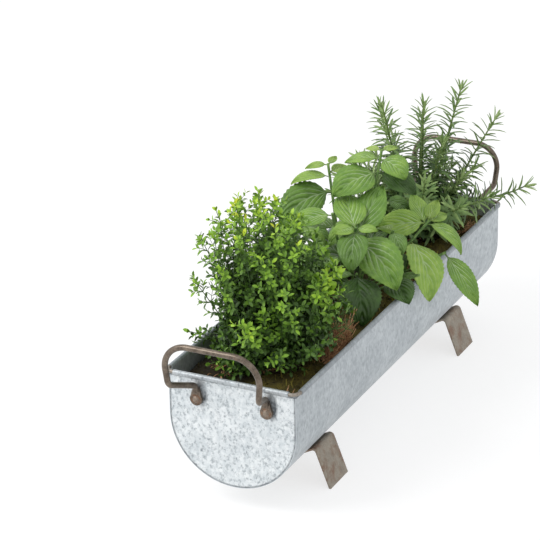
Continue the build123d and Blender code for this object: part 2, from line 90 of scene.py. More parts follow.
# %% [markdown]
# ## Nodes and colours
# A finish is a small tree of nodes. Three helpers keep the trees short: one turns a colour picked from a
# screen, which is written as a hex value, into the linear colour that Blender works in, one sets or links
# the inputs of a node, and one adds a node with its options and gives back its output. Patterns are
# measured in millimetres of the object itself.


# %% Helpers for materials
def linear(code):
    """The linear colour of an sRGB hex value such as "#8090A0"."""
    shares = [int(code[k:k + 2], 16) / 255 for k in (1, 3, 5)]
    return [s / 12.92 if s <= 0.04045 else ((s + 0.055) / 1.055) ** 2.4 for s in shares] + [1]


def fill(tree, node, inputs):
    """Link the inputs that are given as sockets, and set the others, each by its place or its name."""
    for key, value in inputs.items() if isinstance(inputs, dict) else enumerate(inputs):
        if isinstance(value, bpy.types.NodeSocket):
            tree.links.new(value, node.inputs[key])
        else:
            node.inputs[key].default_value = value


def add(tree, kind, inputs=(), stops=(), out=0, **options):
    """Add a node of that kind and give back one of its outputs, or all of them where out is None."""
    node = tree.nodes.new("ShaderNode" + kind)
    for name, value in options.items():
        setattr(node, name, value)
    fill(tree, node, inputs)
    for k, (place, code) in enumerate(stops):
        elements = node.color_ramp.elements
        element = elements[k] if k < 2 else elements.new(place)
        element.position = place
        element.color = linear(code)
    return node.outputs if out is None else node.outputs[out]


def new_finish(name):
    """A material with its node tree, its shader and the object's own coordinates in millimetres."""
    material = bpy.data.materials.new(name)
    material.use_nodes = True
    tree = material.node_tree
    place = add(tree, "TexCoord", out="Object")
    in_mm = add(tree, "VectorMath", {0: place, "Scale": 1 / mm}, operation="SCALE")
    return material, tree, tree.nodes["Principled BSDF"], in_mm


# %% [markdown]
# ## Floor and light
# The object stands on plain white paper in a white studio. A large soft lamp stands high on the left and
# behind the trough, so the end panel is bright, the long side is a tone darker, and a faint shadow falls to
# the right. The white room fills the rest. Rays that go straight to the camera, or are mirrored by metal,
# see the room and the paper as white; the paper keeps a share of its own shade, so the shadow stays.

# %% Floor, room and lamp
floor_size = 12.0
floor_glow = 0.62
glow_level = 1.13
room_fill = 0.80
lamp_place = (-1.7, 1.5, 2.3)
lamp_size = 1.5
lamp_power = 44

bpy.ops.object.select_all(action="DESELECT")
bpy.ops.mesh.primitive_plane_add(size=floor_size, location=(0, 0, 0))
floor = bpy.context.object
floor.name = "floor"


def seen_directly(tree):
    """1 for rays from the camera, or by way of a mirror or glass, and 0 for light that falls on things."""
    ray = add(tree, "LightPath", out=None)
    seen = add(tree, "Math", (ray["Is Camera Ray"], ray["Is Glossy Ray"]), operation="MAXIMUM")
    return add(tree, "Math", (seen, ray["Is Transmission Ray"]), operation="MAXIMUM")


paper, tree, shader, _ = new_finish("white_studio_paper")
fill(tree, shader, {"Base Color": linear("#FAFAFA"), "Roughness": 0.9, "Specular IOR Level": 0.1})
glow_share = add(tree, "Math", (seen_directly(tree), floor_glow), operation="MULTIPLY")
glow = add(tree, "Emission", {"Color": linear("#FFFFFF"), "Strength": glow_level})
lit = add(tree, "MixShader", (glow_share, shader.outputs[0], glow))
fill(tree, tree.nodes["Material Output"], {"Surface": lit})
floor.data.materials.append(paper)

world = bpy.data.worlds.new("white_room")
scene.world = world
world.use_nodes = True
tree = world.node_tree
level = add(tree, "MapRange", (seen_directly(tree), 0, 1, room_fill, 1))
fill(tree, tree.nodes["Background"], {"Strength": level, "Color": linear("#FCFDFF")})

lamp = new_object("window_lamp", bpy.data.lights.new("window_lamp", "AREA"))
lamp.data.size = lamp_size
lamp.data.energy = lamp_power
lamp.location = lamp_place
lamp.rotation_euler = (-lamp.location).to_track_quat("-Z", "Y").to_euler()
print("lamp", lamp_power, "W, room", room_fill)

# %% [markdown]
# ## Galvanised sheet
# The trough and its end panels are steel sheet that was dipped in molten zinc. The zinc froze into fine
# crystals and weathered to a pale blue-grey bloom with small dark flecks. On the end panels the flecks are
# specks; on the long sheet they are short strokes round the bend, because the sheet was drawn through
# rollers that way. Painted shade darkens the rolled rim, a thin line under it and the round edge of the end
# panels, and beside each handle's eye there is a painted shadow with some dirt.

# %% Lines of painted shade and dirt
rim_low, rim_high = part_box("rim_wire")
rim_level = (rim_low.z + rim_high.z) / 2
panel_low, panel_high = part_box("end_panel_front")
panel_radius = panel_high.y
bowl_level = panel_low.z + panel_radius
sheet_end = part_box("trough_sheet")[1].x
eye_low, eye_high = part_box("handle_rivets_front")
eye_level = (eye_low.z + eye_high.z) / 2
rivet_edge = eye_high.z - eye_level
eye_aside = eye_high.y - rivet_edge


def spoke(tree, off_y, off_z):
    """The straight distance that two offsets, across and up, make together."""
    both = add(tree, "CombineXYZ", {"Y": off_y, "Z": off_z})
    return add(tree, "VectorMath", [both], operation="LENGTH", out="Value")


def round_edge_shade(tree, place):
    """Painted shade along the round edge of an end panel, in the seam with the sheet, 0 to 1."""
    edge_mm = panel_radius / mm
    below = add(tree, "Math", (place["Z"], bowl_level / mm), operation="SUBTRACT")
    below = add(tree, "Math", (below, 0.0), operation="MINIMUM")
    radius = spoke(tree, place["Y"], below)
    return add(tree, "MapRange", (radius, edge_mm - 2.0, edge_mm - 0.3, 0, 1))


def eye_shadow_smudge(tree, place, eye_y):
    """A tall painted shadow, with some dirt, beside a handle's eye, 0 to 1."""
    middle_mm = {"Y": eye_y / mm - 5.5, "Z": eye_level / mm + 6.0}
    half_size_mm = {"Y": 7.5, "Z": 17.0}
    offsets = []
    for axis, half in half_size_mm.items():
        scaled = (place[axis], 1 / half, -middle_mm[axis] / half)
        offsets.append(add(tree, "Math", scaled, operation="MULTIPLY_ADD"))
    return add(tree, "MapRange", (spoke(tree, *offsets), 0.55, 1.0, 1, 0))


def shade_and_dirt_lines(tree, in_mm, on_panel):
    """Painted shade on the outside of the sheet, 0 to 1: on the rim's roll, in a line under it and along a
    panel's round edge, with a painted shadow and some dirt beside each handle's eye.
    """
    below_rim_mm = 3.9
    line_width_mm = 1.5
    place = add(tree, "SeparateXYZ", [in_mm], out=None)
    # painted shade: a dark line just under the rim's roll, where the roll's shadow falls
    height = add(tree, "Math", (place["Z"], rim_level / mm - below_rim_mm), operation="SUBTRACT")
    off_line = add(tree, "Math", [height], operation="ABSOLUTE")
    shade_and_dirt_mask = add(tree, "MapRange", (off_line, 0.3, line_width_mm, 1, 0))
    # painted shade on the roll itself, above that line
    marks = [add(tree, "MapRange", (height, 0.6, 1.6, 0, 0.5))]
    if on_panel:
        # painted shade along the panel's round edge
        marks.append(round_edge_shade(tree, place))
        # a painted shadow, with some dirt, beside each handle's eye
        marks += [eye_shadow_smudge(tree, place, side * eye_aside) for side in (-1, 1)]
    for mark in marks:
        shade_and_dirt_mask = add(tree, "Math", (shade_and_dirt_mask, mark), operation="MAXIMUM")
    wall_mm = sheet_end / mm - 0.4 if on_panel else panel_radius / mm + 0.5
    off_middle = add(tree, "Math", [place["X" if on_panel else "Y"]], operation="ABSOLUTE")
    outside = add(tree, "Math", (off_middle, wall_mm), operation="GREATER_THAN")
    return add(tree, "Math", (shade_and_dirt_mask, outside), operation="MULTIPLY")


print("rim at", round(rim_level, 4), "m, bowl axis at", round(bowl_level, 4), "m")

# %% Galvanised finish
speck_colour = "#737B81"
# the colour of the painted shade lines and of the painted shadow, with some dirt, by the handle eyes
shade_and_dirt_colour = "#434A50"


def galvanised(name, pale, dark, fleck_colour, fleck_mm, fleck_most, on_panel):
    """Zinc-coated steel: clouds of bloom, flecks of that size, dark specks, and lines of painted shade with
    some dirt.
    """
    material, tree, shader, in_mm = new_finish(name)
    cloud_mm = 40
    bloom_mm = 6.5
    cloud = add(tree, "TexNoise", {"Vector": in_mm, "Scale": 1 / cloud_mm, "Detail": 4, "Roughness": 0.55})
    bloom = add(tree, "TexNoise", {"Vector": in_mm, "Scale": 1 / bloom_mm, "Detail": 3, "Roughness": 0.6})
    tone = add(tree, "Mix", {0: 0.6, 2: cloud, 3: bloom})
    skin = add(tree, "ValToRGB", [tone], [(0.38, dark), (0.60, pale)])
    drawn = add(tree, "VectorMath", (in_mm, [1 / side for side in fleck_mm]), operation="MULTIPLY")
    fleck = add(tree, "TexNoise", {"Vector": drawn, "Scale": 1, "Detail": 4, "Roughness": 0.62})
    moved = add(tree, "VectorMath", (drawn, (7.3, 3.1, 5.7)), operation="ADD")
    speck = add(tree, "TexNoise", {"Vector": moved, "Scale": 0.8, "Detail": 3, "Roughness": 0.6})
    for mark, start, full, colour in ((fleck, 0.50, 0.68, fleck_colour), (speck, 0.61, 0.72, speck_colour)):
        share = add(tree, "MapRange", (mark, start, full, 0, fleck_most))
        skin = add(tree, "Mix", {0: share, 6: skin, 7: linear(colour)}, data_type="RGBA", out=2)
    patchy = add(tree, "MapRange", (bloom, 0.3, 0.6, 0.35, 0.95))
    # painted shade under the rim and along the panel edge, and a painted shadow with some dirt by the handle
    # eyes, broken up by the bloom
    shade_and_dirt_share = add(tree, "Math", (shade_and_dirt_lines(tree, in_mm, on_panel), patchy), operation="MULTIPLY")
    skin = add(tree, "Mix", {0: shade_and_dirt_share, 6: skin, 7: linear(shade_and_dirt_colour)}, data_type="RGBA", out=2)
    rough = add(tree, "MapRange", (fleck, 0.3, 0.7, 0.42, 0.6))
    bump = add(tree, "Bump", {"Height": fleck, "Strength": 0.15, "Distance": 0.3 * mm})
    fill(tree, shader, {"Base Color": skin, "Roughness": rough, "Metallic": 0.5, "Normal": bump})
    return material


def coat(piece, material):
    """Give a piece that finish in place of any other."""
    piece.data.materials.clear()
    piece.data.materials.append(material)


def paint(material, *names):
    """Give CAD nodes that finish in place of the plain one that they came with."""
    for name in names:
        coat(nodes[name], material)


speck_mm = (3.2, 3.2, 3.8)
stroke_mm = (2.0, 6.5, 6.5)
# painted light and shade: the end sheet is written paler than the long sheet, for the lamp's light on the end
# panels and the shade on the long side
end_sheet = galvanised("galvanised_end_sheet", "#E8ECED", "#CBD2D5", "#8D969B", speck_mm, 0.75, True)
long_sheet = galvanised("galvanised_trough_sheet", "#C9CFD2", "#B1B8BC", "#8B9398", stroke_mm, 0.5, False)
paint(end_sheet, "end_panel_front", "end_panel_rear")
paint(long_sheet, "trough_sheet")
print("galvanised: 3 sheets")

# %% [markdown]
# ## Rods, straps and rivets
# The handles are steel rod with a bronze-brown skin that is rubbed pale in patches, and a ring of rust creeps
# out from under the rivets in their eyes. The feet are flat bar of the same age, greyer, with blotches of
# rust. One function makes all of them: a skin colour, a worn colour and a rust colour, mixed by patches of
# two sizes.


# %% Rust round the eyes
def rust_ring(tree, in_mm):
    """How rusty the steel is round the handles' rivets, 0 to 1."""
    place = add(tree, "SeparateXYZ", [in_mm], out=None)
    off_middle = add(tree, "Math", [place["Y"]], operation="ABSOLUTE")
    off_y = add(tree, "Math", (off_middle, eye_aside / mm), operation="SUBTRACT")
    off_z = add(tree, "Math", (place["Z"], eye_level / mm), operation="SUBTRACT")
    gap = spoke(tree, off_y, off_z)
    off_ring = add(tree, "Math", (gap, rivet_edge / mm + 0.5), operation="SUBTRACT")
    off_ring = add(tree, "Math", [off_ring], operation="ABSOLUTE")
    ring = add(tree, "MapRange", (off_ring, 0.4, 1.9, 1, 0))
    creep_mm = 4
    uneven = add(tree, "TexNoise", {"Vector": in_mm, "Scale": 1 / creep_mm, "Detail": 3})
    crept = add(tree, "MapRange", (uneven, 0.42, 0.64, 0, 0.5))
    return add(tree, "Math", (ring, crept), operation="MULTIPLY")


print("rivet heads", round(2 * rivet_edge, 4), "m across")


# %% Aged steel finish
def aged_steel(name, skin, worn, rust, patch_mm, rust_from, rough, metal):
    """Steel that has browned with age: worn patches, and rust where a slow noise passes its threshold."""
    material, tree, shader, in_mm = new_finish(name)
    grit_mm = 1.3
    patch = add(tree, "TexNoise", {"Vector": in_mm, "Scale": 1 / patch_mm, "Detail": 6, "Roughness": 0.65})
    grit = add(tree, "TexNoise", {"Vector": in_mm, "Scale": 1 / grit_mm, "Detail": 3, "Roughness": 0.6})
    both = add(tree, "Mix", {0: 0.4, 2: patch, 3: grit})
    body = add(tree, "ValToRGB", [both], [(0.38, skin), (0.66, worn)])
    moved = add(tree, "VectorMath", (in_mm, (31, 17, 5)), operation="ADD")
    bloom = add(tree, "TexNoise", {"Vector": moved, "Scale": 0.8 / patch_mm, "Detail": 8, "Roughness": 0.7})
    share = add(tree, "MapRange", (bloom, rust_from, rust_from + 0.16, 0, 0.75))
    share = add(tree, "Math", (share, rust_ring(tree, in_mm)), operation="MAXIMUM")
    rusted = add(tree, "Mix", {0: share, 6: body, 7: linear(rust)}, data_type="RGBA", out=2)
    matt = add(tree, "MapRange", (both, 0.3, 0.7, rough - 0.1, rough + 0.12))
    bump = add(tree, "Bump", {"Height": both, "Strength": 0.35, "Distance": 0.3 * mm})
    fill(tree, shader, {"Base Color": rusted, "Roughness": matt, "Metallic": metal, "Normal": bump})
    return material


rod = aged_steel("bronzed_steel_rod", "#4F443A", "#897C6E", "#86542F", 9, 0.60, 0.34, 0.6)
rivet = aged_steel("rusted_rivet_steel", "#675A4D", "#A69787", "#85573A", 4, 0.55, 0.5, 0.45)
strap = aged_steel("weathered_flat_bar", "#8B8275", "#B1A899", "#82604A", 11, 0.48, 0.58, 0.35)
wire = aged_steel("bare_rim_wire", "#7A7268", "#B0A99F", "#8A6248", 6, 0.55, 0.42, 0.6)
paint(rod, "handle_front", "handle_rear")
paint(rivet, "handle_rivets_front", "handle_rivets_rear", "foot_rivets_front", "foot_rivets_rear")
paint(strap, "foot_strap_front", "foot_strap_rear")
paint(wire, "rim_wire")
print("aged steel: handles, rivets, feet and rim wire")

# %% [markdown]
# ## Soil, bark and fibre
# The growing mix shows only where a herb is lifted out of its pocket. It is peat and bark: nearly black and
# matt, with crumbs of a few millimetres. The root balls are the same stuff, bound by pale roots and husk
# fibre. The skin of a twig is matt too, and so is coir, the red-brown fibre of coconut husk. In all of them
# the colour follows one noise of the right grain, and where there are crumbs, they follow it as well.


# %% Grainy finishes
def grainy(name, stops, grain_mm, detail, uneven, rough, crumbs_mm=0.0):
    """A matt stuff whose colours follow a noise of that grain, with crumbs of that height if it has any."""
    material, tree, shader, in_mm = new_finish(name)
    noise = {"Vector": in_mm, "Scale": 1 / grain_mm, "Detail": detail, "Roughness": uneven}
    grain = add(tree, "TexNoise", noise)
    fill(tree, shader, {"Base Color": add(tree, "ValToRGB", [grain], stops), "Roughness": rough})
    if crumbs_mm:
        bump = add(tree, "Bump", {"Height": grain, "Strength": 0.8, "Distance": crumbs_mm * mm})
        fill(tree, shader, {"Normal": bump})
    return material


peat_stops = [(0.34, "#1D150F"), (0.74, "#5A4330"), (0.55, "#3A2A1E")]
root_stops = [(0.34, "#20160D"), (0.74, "#85664A"), (0.55, "#43301F")]
coir_stops = [(0.32, "#7A5638"), (0.7, "#DCB48C"), (0.5, "#B48860")]
paint(grainy("peat_growing_mix", peat_stops, 3.0, 6, 0.7, 0.95, 1.5), "potting_fill")
root_ball = grainy("peat_and_root_ball", root_stops, 2.6, 6, 0.7, 0.95, 1.5)
coir = grainy("coconut_coir", coir_stops, 2.2, 5, 0.7, 0.85)
barks = {
    "thyme": grainy("thyme_twig_bark", [(0.35, "#2F4721"), (0.65, "#5E7F3A")], 4, 4, 0.5, 0.65),
    "mint": grainy("mint_stem_skin", [(0.35, "#4A6E30"), (0.65, "#83A456")], 5, 4, 0.5, 0.65),
    "rosemary": grainy("rosemary_twig_bark", [(0.35, "#4B6233"), (0.65, "#7F9350")], 3, 4, 0.5, 0.65),
}
for herb, bark in barks.items():
    paint(bark, f"{herb}_stems")
print("grainy finishes: soil, root balls, coir and", len(barks), "barks")

# %% [markdown]
# ## Where the plants stand
# The frame holds each plant as plain solids: a straight stem for every shoot, a whorled cone for every sprig
# of thyme and rosemary, and a folded plain leaf for every mint leaf. Those solids give the places and the
# sizes, so they are read back here: a copy of a node is merged, split into its loose parts, and the two ends
# of each part are found along its longest direction.

# %% Helpers for pieces
merge_gap = 0.005 * mm


def edit_all():
    """Go into edit mode with everything selected."""
    bpy.ops.object.mode_set(mode="EDIT")
    bpy.ops.mesh.select_all(action="SELECT")


def start_fresh(piece=None):
    """Leave edit mode and deselect everything, apart from the piece that is worked on."""
    if bpy.context.object and bpy.context.object.mode != "OBJECT":
        bpy.ops.object.mode_set(mode="OBJECT")
    bpy.ops.object.select_all(action="DESELECT")
    if piece:
        piece.select_set(True)
        bpy.context.view_layer.objects.active = piece


def merged_copy(name, node):
    """A copy of a CAD node, with its loose triangles merged, as the only selected object."""
    copy = new_object(name, nodes[node].data.copy())
    start_fresh(copy)
    edit_all()
    bpy.ops.mesh.remove_doubles(threshold=merge_gap)
    bpy.ops.object.mode_set(mode="OBJECT")
    return copy


def take(piece):
    """The points, the edges and the faces of an object, which is then removed."""
    points = np.array([corner.co for corner in piece.data.vertices])
    edges = np.array([list(edge.vertices) for edge in piece.data.edges])
    faces = np.array([list(face.vertices) for face in piece.data.polygons])
    bpy.data.objects.remove(piece)
    return points, edges, faces


def modify(piece, kind, **settings):
    """Add a modifier with those settings to the selected piece, and apply it."""
    modifier = piece.modifiers.new(kind.lower(), kind)
    for name, value in settings.items():
        setattr(modifier, name, value)
    bpy.ops.object.modifier_apply(modifier=modifier.name)


# %% Read the stems and sprigs
def loose_parts(name):
    """The points and the edges of each separate solid of a CAD node."""
    merged_copy("copy", name)
    edit_all()
    bpy.ops.mesh.separate(type="LOOSE")
    bpy.ops.object.mode_set(mode="OBJECT")
    return [take(part)[:2] for part in list(bpy.context.selected_objects)]


def unit(vectors):
    """Vectors of length one."""
    return vectors / np.linalg.norm(vectors, axis=-1, keepdims=True)


def ends(points, root):
    """The two ends of a straight solid, with the one nearer to the root first."""
    middle = points.mean(0)
    axis = np.linalg.svd(points - middle, full_matrices=False)[2][0]
    reach = (points - middle) @ axis
    pair = [middle + axis * reach.min(), middle + axis * reach.max()]
    return sorted(pair, key=lambda end: np.linalg.norm(end - root))


def root_of(herb):
    """The middle of the top of a herb's root plug."""
    low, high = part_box(f"{herb}_root_plug")
    return np.array([(low.x + high.x) / 2, (low.y + high.y) / 2, high.z])


def straight_parts(name, herb):
    """The ends of each straight solid of a CAD node, from the herb's root outwards."""
    return [ends(points, roots[herb]) for points, _ in loose_parts(name)]


roots = {herb: root_of(herb) for herb in ("thyme", "mint", "rosemary")}
thyme_sprigs = straight_parts("thyme_sprigs", "thyme")
rosemary_sprigs = straight_parts("rosemary_sprigs", "rosemary")
mint_stems = straight_parts("mint_stems", "mint")
print("sprigs:", len(thyme_sprigs), "thyme,", len(rosemary_sprigs), "rosemary; mint stems:", len(mint_stems))

# %% [markdown]
# ## One leaf, many copies
# A thyme leaf and a rosemary needle are modelled once, as by hand: a four-cornered ring is closed, drawn out
# step by step, resized at each step, folded up at its sides and merged to a point. The copies are laid out in
# one mesh. Each copy is scaled, curled along its length and turned to its place, and carries a tone from 0,
# dark, to 1, bright, which its material reads. The tone follows age, and for leaves inside the thyme, low in
# the trough, and for fronds on the left of the moss it also carries painted shade.


# %% Helpers for leaves
def model_blade(rings, tip, fold):
    """A closed blade along +Y from rings of (place along it, half width, half thickness), in millimetres."""
    start_fresh()
    bpy.ops.mesh.primitive_circle_add(vertices=4, radius=1)
    blade = bpy.context.object
    edit_all()
    bpy.ops.transform.rotate(value=math.pi / 2, orient_axis="X", center_override=(0, 0, 0))
    bpy.ops.mesh.edge_face_add()
    at, wide, thick = 0.0, 1.0, 1.0
    for place, half_width, half_thickness in rings:
        if place > 0:
            bpy.ops.mesh.extrude_region_move(TRANSFORM_OT_translate={"value": (0, place - at, 0)})
        size = (half_width / wide, 1, half_thickness / thick)
        bpy.ops.transform.resize(value=size, center_override=(0, place, 0))
        at, wide, thick = place, half_width, half_thickness
    bpy.ops.mesh.extrude_region_move(TRANSFORM_OT_translate={"value": (0, tip - at, 0)})
    bpy.ops.mesh.merge(type="CENTER")
    bpy.ops.mesh.select_all(action="SELECT")
    bpy.ops.mesh.quads_convert_to_tris()
    bpy.ops.mesh.normals_make_consistent(inside=False)
    bpy.ops.object.mode_set(mode="OBJECT")
    points, _, faces = take(blade)
    points[:, 2] += fold * np.abs(points[:, 0])
    return points * mm, faces


def lay_out(blade, origins, aheads, ups, sizes, curls):
    """The points of many copies of a blade, each scaled, curled down along its length and turned."""
    points = blade[None] * np.reshape(sizes, (-1, 1, 1))
    length = points[:, :, 1].max(1)
    bend = (np.asarray(curls) / length)[:, None] + 1e-6
    turn = points[:, :, 1] * bend
    y = np.sin(turn) / bend + points[:, :, 2] * np.sin(turn)
    z = (np.cos(turn) - 1) / bend + points[:, :, 2] * np.cos(turn)
    aheads = unit(np.asarray(aheads))
    sides = unit(np.cross(aheads, np.asarray(ups)))
    ups = np.cross(sides, aheads)
    local = np.stack([points[:, :, 0], y, z], 2)
    return np.asarray(origins)[:, None] + local @ np.stack([sides, aheads, ups], 1)


def new_piece(name, points, faces, material, tones, smooth_angle=50):
    """A mesh object from points and faces, with its finish and a tone for each point."""
    mesh = bpy.data.meshes.new(name)
    mesh.from_pydata(points.tolist(), [], faces.tolist())
    mesh.materials.append(material)
    mesh.attributes.new("tone", "FLOAT", "POINT").data.foreach_set("value", np.asarray(tones, np.float32))
    piece = new_object(name, mesh)
    start_fresh(piece)
    bpy.ops.object.shade_smooth_by_angle(angle=math.radians(smooth_angle))
    return piece


def copies_piece(name, blade, faces, laid, tones, material, paler_below=0.0):
    """All the laid-out copies of a blade as one piece, with a paler underside if it has one."""
    steps = np.arange(len(laid))[:, None, None] * len(blade)
    below = np.where(blade[:, 2] < 0, paler_below, 0.0)
    all_tones = np.asarray(tones)[:, None] + below[None]
    all_faces = (faces[None] + steps).reshape(-1, 3)
    return new_piece(name, laid.reshape(-1, 3), all_faces, material, all_tones.reshape(-1))


# %% Helpers for twigs
def draw_twigs(name, runs, material):
    """Tapered twigs along runs of points, each with a radius at every point, as a curve made a mesh."""
    curve = bpy.data.curves.new(name, "CURVE")
    curve.dimensions = "3D"
    curve.bevel_depth = 1
    curve.bevel_resolution = 0
    curve.use_fill_caps = True
    for points, radii in runs:
        spline = curve.splines.new("POLY")
        spline.points.add(len(points) - 1)
        for corner, point, radius in zip(spline.points, points, radii):
            corner.co = (*point, 1)
            corner.radius = radius
    start_fresh(new_object(name, curve))
    bpy.ops.object.convert(target="MESH")
    piece = bpy.context.object
    coat(piece, material)
    bpy.ops.object.shade_smooth_by_angle(angle=math.radians(80))
    return piece


def level_heading(turn):
    """The level direction at that angle round a herb."""
    return np.array([math.cos(turn), math.sin(turn), 0])


def aside(axis, turn):
    """The direction square to an axis, at that angle round it."""
    flat = np.cross(axis, (0.0, 0.0, 1.0))
    flat = unit(flat if np.linalg.norm(flat) > 0.05 else np.cross(axis, (1.0, 0.0, 0.0)))
    return flat * math.cos(turn) + np.cross(axis, flat) * math.sin(turn)


def bowed(start, end, bow, steps):
    """Points from start to end along a run that bows aside by that vector at its middle."""
    shares = np.linspace(0, 1, steps + 1)[:, None]
    return start + (end - start) * shares + bow * (4 * shares * (1 - shares))


def along(run, share):
    """The point at that share of a run, and the direction of the run there."""
    at = share * (len(run) - 1)
    k = min(int(at), len(run) - 2)
    step = run[k + 1] - run[k]
    return run[k] + step * (at - k), unit(step)


def off_run(points, start, end):
    """How far points are from the straight line between two ends."""
    step = end - start
    share = np.clip((points - start) @ step / (step @ step), 0, 1)
    return np.linalg.norm(points - start - share[:, None] * step, axis=1)


leaf_margin = 4 * mm
inside_y = panel_radius - leaf_margin
plug_top = roots["thyme"][2]


def has_room(point, low_x, high_x):
    """Whether a leaf's tip keeps to its herb's stretch of the trough and out of the sheet."""
    over = point[2] > rim_high.z + leaf_margin
    inside = abs(point[1]) < inside_y and point[2] > plug_top
    return low_x < point[0] < high_x and (over or inside)


print("helpers ready, leaves stay within", round(inside_y, 4), "m inside the trough")

# %% [markdown]
# ## Leaf finishes
# A leaf is a matt wax skin over bright green tissue. It is dark when old, and yellow-green at the growing
# tips, which is what the tone picks out of a colour ramp; a low tone also stands for painted shade. A fine
# noise breaks the ramp up within each leaf, and the gloss is a satin one.


# %% Leaf finish
def leaf_green(tree, in_mm, stops, mottle_mm, detail, most_shift):
    """A colour that follows the tone of a leaf, broken up by a fine mottling, and the tone itself."""
    tone = add(tree, "Attribute", attribute_name="tone", out="Fac")
    mottle = add(tree, "TexNoise", {"Vector": in_mm, "Scale": 1 / mottle_mm, "Detail": detail})
    shift = add(tree, "MapRange", (mottle, 0.3, 0.7, -most_shift, most_shift))
    mixed = add(tree, "Math", (tone, shift), operation="ADD")
    return add(tree, "ValToRGB", [mixed], stops), tone


def leaf_finish(name, stops, rough, mottle_mm):
    """A satin leaf whose colour follows its tone."""
    material, tree, shader, in_mm = new_finish(name)
    colour, _ = leaf_green(tree, in_mm, stops, mottle_mm, 3, 0.08)
    fill(tree, shader, {"Base Color": colour, "Roughness": rough, "Specular IOR Level": 0.4})
    return material


thyme_stops = [
    (0.0, "#1C2C10"), (1.0, "#C6CF2E"), (0.2, "#2F4A1A"),
    (0.42, "#527527"), (0.64, "#7FA933"), (0.84, "#A4CB3E")]
needle_stops = [(0.0, "#2C4424"), (1.0, "#AEC285"), (0.4, "#597740"), (0.7, "#849F5C")]
thyme_leaf = leaf_finish("thyme_leaf_skin", thyme_stops, 0.5, 5)
needle_skin = leaf_finish("rosemary_needle_skin", needle_stops, 0.5, 6)
print("leaf finishes ready")

# %% [markdown]
# ## Thyme
# The bush is a dome of fine twigs. Each sprig of the frame becomes a twig that bows a little; at every joint
# it has a pair of oval leaves, crosswise to the pair below, and from most joints a side twig leaves with
# pairs of its own. Shorter sprigs fill the middle of the dome, and low ones lie over the moss round the plug.
# Leaves at the tips of the twigs and at the very top are young and bright. Leaves are brighter towards the
# outside of the bush and darker inside it, which is painted shade. Nothing may reach into the sheet, past the
# end of the trough or over the mint, which has to lift out beside it. A gap over a heap of loose fibre stays
# bare.

# %% How a sprig of thyme grows
thyme_draw = np.random.default_rng(11)
thyme_leaf_mm = 9.8
thyme_rings = [(0, 0.35, 0.22), (3.4, 2.35, 0.3), (6.8, 2.15, 0.26)]
thyme_blade, thyme_faces = model_blade(thyme_rings, thyme_leaf_mm, 0.3)
thyme_low_x = -0.279
thyme_high_x = -0.092
thyme_dome = np.array([0.092, 0.092, 0.178])
joint_gap = 7.5 * mm
leaf_angle = math.radians(55)
tip_leaf_angle = math.radians(28)
side_twig_angle = math.radians(46)
sunny_clumps = [(np.array((-0.255, -0.024, 0.200)), 0.55), (np.array((-0.180, -0.075, 0.220)), 1.0)]
clump_size = 42 * mm
clump_growth = 0.35


def in_clump(point):
    """How far a place is in a bright clump: up to 1 in the middle of the brightest, and 0 outside."""
    gaps = [(np.linalg.norm(point - middle), most) for middle, most in sunny_clumps]
    return max(max(0.0, most * (1 - (gap / clump_size) ** 2)) for gap, most in gaps)


def thyme_tone(point, brightening):
    """How bright a leaf is: more at the tips of its twigs and the very top, and more towards the outside of
    the bush, as painted shade darkens its inside.
    """
    offset = (point - roots["thyme"]) / thyme_dome
    top = np.clip((offset[2] - 0.78) / 0.2, 0, 1)
    outer = np.linalg.norm(offset) ** 2
    # painted shade: the outer term darkens leaves deep inside the bush
    tone = 0.05 + 0.36 * outer + 0.16 * brightening + 0.34 * top * brightening + 0.4 * in_clump(point)
    return float(np.clip(tone + thyme_draw.normal(0, 0.08), 0, 0.84 + 0.16 * top))


def leaf_pair(leaves, place, axis, turn, size, tone, spread):
    """Add a pair of leaves on both sides of a twig."""
    for side in (0, math.pi):
        out = aside(axis, turn + side)
        ahead = axis * math.cos(spread) + out * math.sin(spread)
        leaves.append((place + out * 0.5 * mm, ahead, axis - ahead * float(axis @ ahead), size, tone))


def grow_thyme(leaves, twigs, start, tip, bare, side_share):
    """Add one sprig: a bowed twig with crossed pairs of leaves, and side twigs with pairs of their own."""
    length = np.linalg.norm(tip - start)
    bow = aside(unit(tip - start), thyme_draw.uniform(0, 2 * math.pi)) * 0.05 * length
    main = bowed(start, tip, bow, 5)
    twigs.append((main, np.linspace(0.8, 0.35, 6) * mm))
    joints = max(2, int(length * (1 - bare) / joint_gap))
    for k in range(joints + 1):
        share = bare + (1 - bare) * k / joints
        place, axis = along(main, share)
        turn = k * math.pi / 2 + thyme_draw.normal(0, 0.3)
        growth = (1 - 0.2 * share) * (1 + clump_growth * in_clump(place))
        size = thyme_draw.uniform(0.78, 1.05) * growth
        spread = leaf_angle if k < joints else tip_leaf_angle
        leaf_pair(leaves, place, axis, turn, size, thyme_tone(place, share ** 2), spread)
        for side in (0, math.pi):
            if k == joints or thyme_draw.random() > side_share:
                continue
            out = aside(axis, turn + side + 0.6)
            heading = unit(axis * math.cos(side_twig_angle) + out * math.sin(side_twig_angle))
            end = place + heading * thyme_draw.uniform(11, 21) * mm * (1.15 - 0.5 * share)
            if has_room(end, thyme_low_x, thyme_high_x):
                grow_side_twig(leaves, twigs, place, end)


def grow_side_twig(leaves, twigs, start, end):
    """Add a side twig with two pairs of leaves along it and an upright pair at its end."""
    heading = unit(end - start)
    twigs.append((bowed(start, end, np.array([0, 0, 0.8 * mm]), 3), np.linspace(0.42, 0.25, 4) * mm))
    first = thyme_draw.uniform(0, math.pi)
    for j, share in enumerate((0.42, 0.74, 1.0)):
        point = start + (end - start) * share
        growth = (1.05 - 0.3 * share) * (1 + clump_growth * in_clump(point))
        size = thyme_draw.uniform(0.7, 1.0) * growth
        spread = leaf_angle if share < 1 else tip_leaf_angle
        leaf_pair(leaves, point, heading, first + j * math.pi / 2, size, thyme_tone(point, share), spread)


